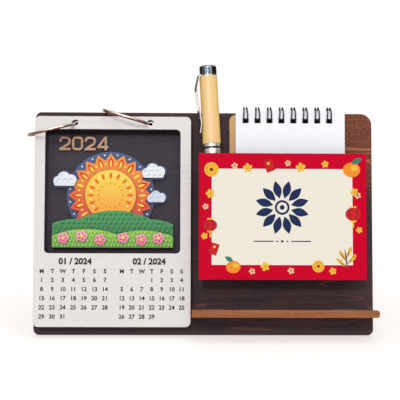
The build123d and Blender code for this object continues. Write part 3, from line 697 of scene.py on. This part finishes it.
def card():
    finish = Finish("brown_card")
    fibres = finish.grain(0.9, 3.0, 2.0, 5.0, 0.75)
    flecks = finish.ramp(finish.specks(1.4, 2.0, 0.5), 0.64, 0.72)
    face = finish.mix(fibres, shade(210, 170, 110), shade(246, 208, 148))
    return finish.coat(
        Base_Color=finish.mix(flecks * 0.4, face, shade(140, 100, 64)),
        Roughness=0.8 + fibres * 0.1,
        Normal=finish.bump(fibres, 0.06),
    )


wear(paper(), "notepad_pages")
wear(card(), "notepad_cover")

# %% [markdown]
# ## Bamboo and the pen's black pieces
# Bamboo is bundles of straight fibres, so its grain is long dark hairlines along the pen.
# They come from noise that is told along the pen's own axis and stretched that way. The wall
# carries painted light: a rosy painted highlight in front, a painted golden glow round its
# sides and a painted highlight on its right. All of that is told from the pen too, so it stays
# on the wood wherever one looks from.

# %% The pen's own directions
along_pen = Vector(joints["pen_lift"]["axis"]).normalized()
across_pen = along_pen.cross(out_board).normalized()
out_pen = across_pen.cross(along_pen)
barrel_points = [vertex.co for vertex in frame["nodes"]["pen_barrel"].data.vertices]
pen_middle = sum(barrel_points, Vector()) / len(barrel_points)
print("lean of the pen to the left, in degrees:", round(degrees(asin(-along_pen.x)), 2))


# %% Bamboo
def bamboo():
    finish = Finish("bamboo")
    far, across, front = [finish.along(way, pen_middle) for way in (along_pen, across_pen, out_pen)]

    def pulled(per_far, per_side, *spread):
        """Noise pulled out along the pen."""
        places = finish.join(far * per_far, across * per_side, front * per_side)
        return finish.noise(places, *spread)

    fibres = pulled(0.035, 2.4)
    hairs = finish.ramp(pulled(0.05, 1.3, 5.0, 0.75), 0.56, 0.72)
    broad = finish.ramp(pulled(0.012, 0.22, 2.0, 0.5), 0.35, 0.7)
    side_on_for_painted_light = 1.0 - finish.figure("POWER", finish.facing(out_pen), 0.7)
    return finish.coat(
        Base_Color=finish.layered(
            finish.mix(fibres, shade(240, 194, 118), shade(258, 226, 160)),
            (broad * 0.5, shade(255, 214, 130)),
            # Painted light: a rosy highlight in front, a golden glow round the sides, a highlight on the
            # right.
            (finish.ramp(side_on_for_painted_light, 0.25, 0.0) * 0.45, shade(255, 216, 168)),
            (finish.ramp(side_on_for_painted_light, 0.2, 0.75), shade(284, 228, 126)),
            (finish.ramp(across, 1.0, 6.0) * 0.8, shade(286, 238, 150)),
            (hairs * 0.3, shade(186, 134, 74)),
        ),
        Roughness=0.34 + fibres * 0.12,
        Normal=finish.bump(fibres, 0.03),
    )


wear(bamboo(), "pen_barrel", "cap_tube")


# %% Black plastic and the refill
def plastic(name, dark, light, roughness):
    """A moulded plastic: two near tones and a fine spark-eroded texture."""
    finish = Finish(name)
    erosion = finish.specks(4.0, 3.0)
    return finish.coat(
        Base_Color=finish.mix(erosion, dark, light),
        Roughness=roughness + erosion * 0.15,
        Normal=finish.bump(erosion, 0.02),
    )


black_plastic = plastic("black_plastic", shade(20, 20, 22), shade(34, 34, 36), 0.35)
wear(black_plastic, "pen_tail", "pen_grip", "cap_liner", "pen_collar_ring")
wear(metal("refill_brass", (0.78, 0.6, 0.3), (0.6, 0.42, 0.2), 0.22), "pen_refill")

# %% [markdown]
# ## The twin-loop wire
# One black coated wire runs along the pad's root, up and over in pairs of legs, and back
# through the holes. In the CAD model it is a plain tube. Here it is one smooth curve with
# the same hairpins, so that light runs along it without facets. Its legs lean together a
# little over the top of the pad.

# %% The wire's measures
loop_count = 8
loop_pitch = 8.47
loop_radius = 5.30
wire_radius = 0.5
leg_half_gap = 1.35
top_pinch = 0.45
root_bend = 1.2
tip_angle = 132.0
leg_steps = 22
tip_steps = 8
bend_steps = 6
wire_low, wire_high = reach("notepad_wire")
cover_low, cover_high = reach("notepad_cover")
loop_middle_up = wire_high.y - wire_radius - loop_radius
loop_middle_out = wire_low.z + wire_radius + loop_radius
first_loop_x = (cover_low.x + cover_high.x) / 2 - loop_pitch * (loop_count - 1) / 2
print("loops are centred at up", round(loop_middle_up, 2), "and out", round(loop_middle_out, 2))


# %% One loop of the wire
def leg_spot(x, angle):
    """A point on one leg: 0 degrees is straight in front, 90 is the top, 180 the root."""
    turn = radians(angle)
    up = loop_middle_up + loop_radius * sin(turn)
    return spot(x, up, loop_middle_out + loop_radius * cos(turn))


def half_gap(angle):
    """Half the room between the two legs: they lean together over the top of the pad."""
    return leg_half_gap - top_pinch * max(0.0, sin(radians(angle)))


def hairpin(x):
    """The points of one loop, from the root up the left leg, round the tip and back."""
    angles = [180 - step * (180 + tip_angle) / leg_steps for step in range(leg_steps + 1)]
    left = [leg_spot(x - half_gap(angle), angle) for angle in angles]
    right = [leg_spot(x + half_gap(angle), angle) for angle in reversed(angles)]
    turn = radians(-tip_angle)
    onward = (up_board * -cos(turn) + out_board * sin(turn)) * MM
    tip = []
    for step in range(1, tip_steps):
        side = pi * step / tip_steps
        middle = leg_spot(x - leg_half_gap * cos(side), -tip_angle)
        tip.append(middle + onward * leg_half_gap * sin(side))
    return left + tip + right


def root_bend_points(x, side):
    """The small bend from the root line into a leg, on one side of a loop."""
    points = []
    for step in range(bend_steps):
        turn = pi / 2 * step / bend_steps
        away = leg_half_gap + root_bend * (1 - sin(turn))
        drop = root_bend * cos(turn)
        points.append(spot(x + side * away, loop_middle_up - drop, loop_middle_out - loop_radius))
    return points


# %% The wire itself
route = []
for number in range(loop_count):
    loop_x = first_loop_x + number * loop_pitch
    route += root_bend_points(loop_x, -1) + hairpin(loop_x) + root_bend_points(loop_x, 1)[::-1]
end_piece = along_board * 2 * wire_radius * MM
route = [route[0] - end_piece] + route + [route[-1] + end_piece]
wire_curve = bpy.data.curves.new("twin_loop_wire", "CURVE")
wire_curve.dimensions = "3D"
wire_curve.bevel_depth = wire_radius * MM
wire_curve.bevel_resolution = 3
wire_curve.use_fill_caps = True
wire_line = wire_curve.splines.new("POLY")
wire_line.points.add(len(route) - 1)
for point, place in zip(wire_line.points, route):
    point.co = (*place, 1.0)
wire_curve.materials.append(plastic("black_wire_coating", shade(16, 16, 18), shade(40, 40, 44), 0.25))
twin_loop_wire = add_object("twin_loop_wire", wire_curve)
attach(twin_loop_wire, "notepad")
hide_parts("notepad_wire")
print("the wire follows", len(route), "points")

# %% [markdown]
# ## Print as thin films of ink
# Print could be painted by a shader, but small figures then blur as soon as the model is
# baked. Here each printed shape is a thin film of its own, a few hundredths of a millimetre
# high, so its edge stays sharp from any distance.


# %% Outlines for print
def polar(x, up, far, turn):
    """The place that lies so far from x and up, at some degrees."""
    return x + far * cos(radians(turn)), up + far * sin(radians(turn))


def turned(points, x, up, turn):
    """Points told about their own middle, turned by some degrees and put at x and up."""
    cosine = cos(radians(turn))
    sine = sin(radians(turn))
    return [(x + side * cosine - rise * sine, up + side * sine + rise * cosine) for side, rise in points]


def oval(x, up, half_width, half_height, turn=0.0, steps=36):
    """An oval outline, turned by some degrees."""
    angles = [2 * pi * step / steps for step in range(steps)]
    points = [(half_width * cos(angle), half_height * sin(angle)) for angle in angles]
    return turned(points, x, up, turn)


def circle(x, up, radius, steps=36):
    """A round outline."""
    return oval(x, up, radius, radius, steps=steps)


def blossom(x, up, radius, turn=90.0, petals=5, steps=80):
    """A flower outline with round petals and narrow notches between them."""
    points = []
    for step in range(steps):
        angle = 360.0 * step / steps
        bulge = abs(cos(radians(petals * angle / 2))) ** 0.55
        points.append(polar(x, up, radius * (0.42 + 0.58 * bulge), angle + turn))
    return points


def leaf(x, up, length, width, turn, steps=12):
    """A pointed leaf that starts at a place and runs off at an angle."""
    shares = [step / steps for step in range(steps + 1)]
    side = [(length * share, width / 2 * sin(pi * share)) for share in shares]
    return turned(side + [(far, -half) for far, half in reversed(side[1:-1])], x, up, turn)


def rectangle(left, bottom, right, top):
    """A square-cornered outline."""
    return [(left, bottom), (right, bottom), (right, top), (left, top)]


def tilted_box(x, up, width, height, turn):
    """A rectangle about its middle, turned by some degrees."""
    return turned(rectangle(-width / 2, -height / 2, width / 2, height / 2), x, up, turn)


# %% A printed piece
INK_FILM = 0.03


def ink(name, colour, shift):
    """Printing ink: its colour, and how far the fine unevenness of the print makes it paler."""
    finish = Finish(name)
    mottle = finish.grain(0.8, 1.6, 0.8)
    paler = tuple(min(1.0, value + (1 - value) * shift) for value in colour[:3]) + (1.0,)
    return finish.coat(
        Base_Color=finish.mix(mottle, colour, paler),
        Roughness=0.5 + mottle * 0.15,
        Specular_IOR_Level=0.05,
        Normal=finish.bump(mottle, 0.01),
    )


def ink_set(prefix, shifts, **tones):
    """An ink for each tone. Shifts holds those inks that are more or less even than usual."""
    usual_shift = 0.015
    return {
        name: ink(f"{prefix}{name}_ink", shade(*tone), shifts.get(name, usual_shift))
        for name, tone in tones.items()
    }


def printed_piece(name, shapes, inks, base, body):
    """One piece of many films: each shape is (ink, level, outline) on a face at out = base."""
    sheet = bmesh.new()
    for colour, level, outline in shapes:
        height = base + INK_FILM * (level + 1)
        lower = [sheet.verts.new(spot(x, up, base)) for x, up in outline]
        upper = [sheet.verts.new(spot(x, up, height)) for x, up in outline]
        faces = [sheet.faces.new(upper), sheet.faces.new(lower[::-1])]
        for here in range(len(outline)):
            there = (here + 1) % len(outline)
            faces.append(sheet.faces.new((lower[here], lower[there], upper[there], upper[here])))
        for face in faces:
            face.material_index = list(inks).index(colour)
    mesh = bpy.data.meshes.new(name)
    sheet.to_mesh(mesh)
    sheet.free()
    for material in inks.values():
        mesh.materials.append(material)
    piece = add_object(name, mesh)
    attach(piece, body)
    print(name, "has", len(shapes), "shapes")


# %% [markdown]
# ## The pocket's print
# The red panel carries a cream field with a thin white line round it, and small festive
# ornaments along the border: blossoms, oranges with a leaf, round lanterns, paper packets,
# gold discs and a flowering branch. A plain navy rosette over a ruled line fills the middle.

# %% The pocket's field and inks
panel_low, panel_high = reach("pocket_front")
field_left = panel_low.x + 8.9
field_right = panel_high.x - 9.65
field_bottom = panel_low.y + 10.3
field_top = panel_high.y - 10.9
field_middle_x = (field_left + field_right) / 2
field_middle_up = (field_bottom + field_top) / 2
print("the field is", round(field_right - field_left, 1), "by", round(field_top - field_bottom, 1), "mm")

panel_inks = ink_set(
    prefix="",
    shifts={"cream": 0.12, "navy": 0.01},
    white=(250, 247, 242),
    cream=(240, 234, 218),
    gold=(246, 196, 60),
    orange=(246, 150, 38),
    peach=(248, 196, 150),
    red=(206, 22, 32),
    deep_red=(150, 26, 34),
    green=(34, 134, 112),
    brown=(120, 76, 48),
    navy=(24, 42, 86),
)


# %% Small ornaments of the border
def orange_fruit(x, up, size, turn):
    """An orange with one leaf."""
    return [
        ("orange", 3, oval(x, up, size, size * 0.86)),
        ("gold", 4, oval(x + size * 0.32, up + size * 0.2, size * 0.42, size * 0.34)),
        ("green", 5, leaf(x, up + size * 0.75, size * 1.35, size * 0.62, turn)),
    ]


def small_blossom(x, up, size, petal, heart, turn):
    """A five-petal blossom with a round heart."""
    return [(petal, 3, blossom(x, up, size, turn)), (heart, 4, circle(x, up, size * 0.24, 16))]


def lantern(x, up, size):
    """A round lantern with two caps, ribs and a tassel."""
    return [
        ("red", 3, oval(x, up, size, size * 0.86)),
        ("deep_red", 4, oval(x, up, size * 0.56, size * 0.84)),
        ("red", 5, oval(x, up, size * 0.38, size * 0.82)),
        ("gold", 4, rectangle(x - size * 0.42, up + size * 0.8, x + size * 0.42, up + size * 1.02)),
        ("gold", 4, rectangle(x - size * 0.42, up - size * 1.02, x + size * 0.42, up - size * 0.8)),
        ("gold", 3, rectangle(x - size * 0.1, up - size * 1.75, x + size * 0.1, up - size * 1.0)),
    ]


def gold_disc(x, up, size):
    """A gold disc with a raised rim and a round middle."""
    return [
        ("gold", 3, circle(x, up, size)),
        ("orange", 4, circle(x, up, size * 0.72)),
        ("gold", 5, circle(x, up, size * 0.58)),
        ("deep_red", 6, circle(x, up, size * 0.26, 20)),
    ]


def gift_packet(x, up, height, turn):
    """A red paper packet with a darker flap line and a gold seal."""
    seal = polar(x, up, height * 0.2, turn + 90.0)
    return [
        ("deep_red", 3, tilted_box(x, up, height * 0.74, height, turn)),
        ("red", 4, tilted_box(x, up, height * 0.68, height * 0.94, turn)),
        ("deep_red", 5, tilted_box(*seal, height * 0.68, 0.3, turn)),
        ("gold", 6, circle(*seal, height * 0.12, 16)),
    ]


# %% The branch and the rosette
def blossom_branch(x, up, length):
    """A brown branch that forks upwards, with gold blossoms and buds on it."""
    shapes = [("brown", 3, leaf(x, up - length * 0.3, length, 1.1, 98.0))]
    for start, turn, share in ((0.1, 140.0, 0.6), (0.25, 52.0, 0.5), (0.4, 128.0, 0.5), (0.5, 70.0, 0.5)):
        root_x = x - length * start * 0.14
        root_up = up + length * (start - 0.3)
        shapes.append(("brown", 3, leaf(root_x, root_up, length * share, 0.8, turn)))
        for along, size in ((0.45, 1.3), (0.75, 1.7), (1.0, 1.2)):
            place = polar(root_x + 0.5, root_up, length * share * along, turn)
            shapes += small_blossom(*place, size, "gold", "orange", turn)
    return shapes


def rosette(x, up, size):
    """A plain navy rosette of twelve leaves round a ring."""
    shapes = []
    for number in range(12):
        turn = 30.0 * number + 15.0
        shapes.append(("navy", 3, leaf(*polar(x, up, size * 0.34, turn), size * 0.66, size * 0.3, turn)))
    return shapes + [
        ("navy", 3, circle(x, up, size * 0.27)),
        ("cream", 4, circle(x, up, size * 0.19)),
        ("navy", 5, circle(x, up, size * 0.09, 20)),
    ]


# %% Lay out the middle of the pocket
line_width = 0.55
rule_up = field_middle_up - 17.0
rule_half = 0.35
panel_shapes = [
    ("white", 0, rectangle(field_left, field_bottom, field_right, field_top)),
    ("cream", 1, rectangle(field_left + line_width, field_bottom + line_width,
                           field_right - line_width, field_top - line_width)),
]
panel_shapes += rosette(field_middle_x, field_middle_up + 6.5, 19.0)
for start, end in ((-20.0, -6.0), (6.0, 20.0)):
    line = rectangle(field_middle_x + start, rule_up - rule_half, field_middle_x + end, rule_up + rule_half)
    panel_shapes.append(("navy", 3, line))
for away, size in ((-3.6, 0.75), (0.0, 1.1), (3.6, 0.75)):
    panel_shapes.append(("navy", 3, circle(field_middle_x + away, rule_up, size, 4)))
print("shapes in the middle:", len(panel_shapes))

# %% Lay out the border and print the pocket
for ornament in (
    orange_fruit(field_right - 0.5, field_top - 0.5, 6.0, 25.0),
    orange_fruit(field_left + 15.0, field_bottom - 1.4, 5.0, 150.0),
    gold_disc(field_left - 0.2, field_top - 0.6, 5.0),
    gold_disc(field_right - 24.0, field_bottom - 0.8, 4.2),
    lantern(field_right + 0.4, field_middle_up + 2.0, 5.4),
    lantern(field_left - 1.0, field_middle_up - 6.0, 4.8),
    gift_packet(field_left + 40.0, field_top + 2.2, 8.4, 22.0),
    gift_packet(field_left + 1.5, field_bottom + 11.0, 8.0, -18.0),
    blossom_branch(field_right - 3.5, field_bottom + 1.0, 16.0),
):
    panel_shapes += ornament
hearts_of_petals = {"peach": "red", "gold": "orange"}
turns_of_sides = {"top": 97.0, "left": 106.0, "right": 115.0, "foot": 106.0}
for side, x, up, size, petal in (
    ("top", field_left + 16.0, field_top + 2.0, 2.4, "peach"),
    ("top", field_left + 25.0, field_top + 0.6, 3.3, "gold"),
    ("top", field_left + 53.0, field_top + 4.0, 2.2, "peach"),
    ("top", field_left + 62.0, field_top + 1.0, 3.5, "gold"),
    ("top", field_right - 19.0, field_top + 3.4, 2.6, "gold"),
    ("left", field_left - 1.0, field_middle_up + 16.0, 3.2, "gold"),
    ("left", field_left - 4.2, field_middle_up + 7.0, 2.2, "peach"),
    ("left", field_left - 5.0, field_bottom + 20.0, 2.4, "gold"),
    ("right", field_right + 3.6, field_middle_up + 15.0, 2.4, "peach"),
    ("right", field_right + 1.4, field_top - 16.0, 2.9, "gold"),
    ("right", field_right + 4.6, field_middle_up - 9.0, 2.3, "gold"),
    ("foot", field_left + 28.0, field_bottom - 4.4, 2.3, "peach"),
    ("foot", field_left + 37.0, field_bottom - 1.0, 3.3, "gold"),
    ("foot", field_middle_x + 6.0, field_bottom - 4.0, 2.4, "peach"),
    ("foot", field_right - 14.0, field_bottom - 4.2, 2.6, "gold"),
):
    panel_shapes += small_blossom(x, up, size, petal, hearts_of_petals[petal], turns_of_sides[side])
printed_piece("pocket_print", panel_shapes, panel_inks, panel_high.z, "board")

# %% [markdown]
# ## The picture's print
# Each painted layer of the picture carries finer print: petals and dots round the sun, rows
# of bushes on the hills, grass on the meadow, curls on the clouds and streaks on the
# flowers. A pattern is laid over a layer's whole box, and a ray cast from in front keeps
# only the shapes that truly land on that layer.

# %% Inks of the picture
picture_inks = ink_set(
    prefix="picture_",
    shifts={},
    red=(222, 40, 36),
    deep_orange=(240, 110, 30),
    yellow=(255, 222, 84),
    pale=(255, 246, 214),
    dark_green=(16, 96, 58),
    leaf_green=(96, 190, 90),
    grass=(206, 232, 120),
    sky=(150, 186, 226),
    rose=(220, 60, 112),
)
print("inks of the picture:", len(picture_inks))

# %% Print on a layer
bpy.context.view_layer.update()
cast_from = 5.0
rounding = 0.05


def lands_on(layer, front, outline):
    """Whether every point of an outline lies on a layer's front face."""
    for x, up in outline:
        hit, place, normal, number = layer.ray_cast(spot(x, up, front + cast_from), -out_board)
        if not hit or on_board(place).z < front - rounding:
            return False
    return True


def print_layer(node, shapes):
    """Prints those shapes on a layer of the picture that land wholly on it."""
    front = reach(node)[1].z
    kept = [shape for shape in shapes if lands_on(frame["nodes"][node], front, shape[2])]
    inks = {name: picture_inks[name] for name in dict.fromkeys(shape[0] for shape in shapes)}
    printed_piece(node + "_print", kept, inks, front, "board")


# %% Print the sun and its rays
sun_low, sun_high = reach("picture_sun")
sun_radius = (sun_high.x - sun_low.x) / 2
sun_middle = ((sun_low.x + sun_high.x) / 2, sun_high.y - sun_radius)
ray_shapes = []
star_shapes = []
for number in range(20):
    turn = 18.0 * number
    ray_shapes += [
        ("red", 0, leaf(*polar(*sun_middle, 19.0, turn), 8.4, 3.4, turn)),
        ("yellow", 1, leaf(*polar(*sun_middle, 19.6, turn), 6.0, 1.8, turn)),
        ("yellow", 0, circle(*polar(*sun_middle, 22.6, turn + 9.0), 0.75, 16)),
    ]
    star_shapes.append(("pale", 0, circle(*polar(*sun_middle, 29.0, turn + 9.0), 0.6, 16)))
print_layer("picture_rays", ray_shapes)
print_layer("picture_backing", star_shapes)

sun_shapes = []
for number in range(16):
    turn = 22.5 * number
    sun_shapes += [
        ("deep_orange", 0, leaf(*polar(*sun_middle, 11.4, turn), 5.0, 1.9, turn)),
        ("pale", 0, circle(*polar(*sun_middle, 14.4, turn + 11.25), 0.6, 16)),
        ("deep_orange", 0, circle(*polar(*sun_middle, 8.6, turn), 0.55, 12)),
    ]
print_layer("picture_sun", sun_shapes)


# %% Print the hills, the meadow and the clouds
def rows_on(node, rows, columns, first, steps, shift=0.0):
    """Row, column, x and up of places over a layer's box, with every second row shifted."""
    low = reach(node)[0]
    for row in range(rows):
        for column in range(columns):
            x = low.x + first[0] + column * steps[0] + (row % 2) * shift
            yield row, column, x, low.y + first[1] + row * steps[1]


bush_shapes = []
for row, column, x, up in rows_on("picture_hills", 7, 24, (2.0, 8.0), (3.7, 3.1), 1.85):
    bush_shapes.append(("dark_green", 0, oval(x, up, 1.25, 0.95, steps=20)))
    bush_shapes.append(("leaf_green", 1, oval(x - 0.25, up + 0.25, 0.7, 0.5, steps=16)))
print_layer("picture_hills", bush_shapes)

grass_shapes = []
for row, column, x, up in rows_on("picture_meadow", 4, 34, (1.6, 0.8), (2.5, 3.0), 1.2):
    tilt = 90.0 + 16.0 * sin(column * 2.3 + row)
    grass_shapes.append(("grass", 0, leaf(x, up, 2.1, 0.55, tilt)))
    grass_shapes.append(("dark_green", 0, leaf(x + 0.6, up - 0.3, 1.5, 0.45, tilt - 25.0)))
print_layer("picture_meadow", grass_shapes)


def curl(x, up, radius=1.5, width=0.5, start=20.0, sweep=180.0, steps=20):
    """A curved band that is thin at both ends."""
    outer = []
    inner = []
    for step in range(steps + 1):
        share = step / steps
        half = width / 2 * sin(pi * share)
        outer.append(polar(x, up, radius + half, start + sweep * share))
        inner.append(polar(x, up, radius - half, start + sweep * share))
    return outer + inner[-2:0:-1]


cloud_shapes = []
for row, column, x, up in rows_on("picture_clouds", 9, 40, (2.0, 2.0), (2.05, 3.2)):
    if (column + row) % 2:
        cloud_shapes.append(("sky", 0, curl(x, up)))
print_layer("picture_clouds", cloud_shapes)

# %% Print the flowers
# The hearts are one node, so their points are split wherever there is a wide gap along x.
widest_heart_gap = 3.0
heart_points = sorted(told_from_board("picture_flower_hearts"), key=lambda point: point.x)
hearts = [[heart_points[0]]]
for point in heart_points[1:]:
    if point.x - hearts[-1][-1].x > widest_heart_gap:
        hearts.append([])
    hearts[-1].append(point)
flower_shapes = []
for group in hearts:
    middle_x = (group[0].x + group[-1].x) / 2
    middle_up = (min(point.y for point in group) + max(point.y for point in group)) / 2
    for number in range(5):
        turn = 72.0 * number
        flower_shapes.append(("rose", 0, leaf(*polar(middle_x, middle_up, 1.3, turn), 1.9, 0.9, turn)))
print_layer("picture_flowers", flower_shapes)
print("flowers in the picture:", len(hearts))

# %% [markdown]
# ## The month plate's print
# Two months stand side by side: a heading with the month's number and the year, a row of
# weekday initials, and the dates in seven columns. Blender's own letters are written by a
# text object and turned into thin meshes, which join into one piece on the front plate.

# %% Letters as thin meshes
writer_data = bpy.data.curves.new("writer", "FONT")
writer_data.align_x = "CENTER"
writer_data.align_y = "CENTER"
writer_data.resolution_u = 3
writer_data.extrude = INK_FILM * MM / 2
writer = add_object("writer", writer_data)
face_turn = Matrix((along_board, up_board, out_board)).transposed().to_4x4()


def write_on(sheet, words, x, up, size, boldness):
    """Adds words to a sheet, centred on a place of the front plate, size in millimetres."""
    writer_data.body = words
    writer_data.size = size * MM
    writer_data.offset = boldness * MM
    bpy.context.view_layer.update()
    shown = writer.evaluated_get(bpy.context.evaluated_depsgraph_get())
    letters = bpy.data.meshes.new_from_object(shown)
    letters.transform(Matrix.Translation(spot(x, up, plate_high.z + INK_FILM / 2)) @ face_turn)
    sheet.from_mesh(letters)
    bpy.data.meshes.remove(letters)


# %% Print the months
date_size = 4.1
heading_size = 6.0
row_ups = [38.4 - 6.37 * row for row in range(5)]
weekday_up = 44.5
heading_up = 51.4
# A month's number, its days, the column of its first day, the x of its first column, the
# room from column to column, and the x of its heading.
months = [
    ("01", 31, 0, 6.4, 7.36, 29.6),
    ("02", 29, 3, 62.3, 6.98, 81.4),
]
dates = bmesh.new()
for name, day_count, first_column, first_x, pitch, heading_x in months:
    write_on(dates, name + " / 2024", heading_x, heading_up, heading_size, 0.26)
    for column, initial in enumerate("MTWTFSS"):
        write_on(dates, initial, first_x + pitch * column, weekday_up, date_size, 0.14)
    for day in range(1, day_count + 1):
        row, column = divmod(first_column + day - 1, 7)
        write_on(dates, str(day), first_x + pitch * column, row_ups[row], date_size, 0.13)
date_mesh = bpy.data.meshes.new("plate_print")
dates.to_mesh(date_mesh)
dates.free()
date_mesh.materials.clear()
date_mesh.materials.append(ink("dark_grey_ink", shade(40, 32, 34), 0.02))
bpy.data.objects.remove(writer)
plate_print = add_object("plate_print", date_mesh)
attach(plate_print, "plate_front")
print("the months' print has", len(date_mesh.polygons), "faces")

# %% [markdown]
# ## Compare the dressed object with its CAD box
# The looks may not make the object bigger. Every run prints how far the dressed
# object's box differs from the CAD box.

# %% Measure the dressed box and print how far it differs
dressed_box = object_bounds()
for cad_corner, dressed_corner in zip(cad_box, dressed_box):
    print("box change, in mm:", [round((b - a) / MM, 2) for a, b in zip(cad_corner, dressed_corner)])
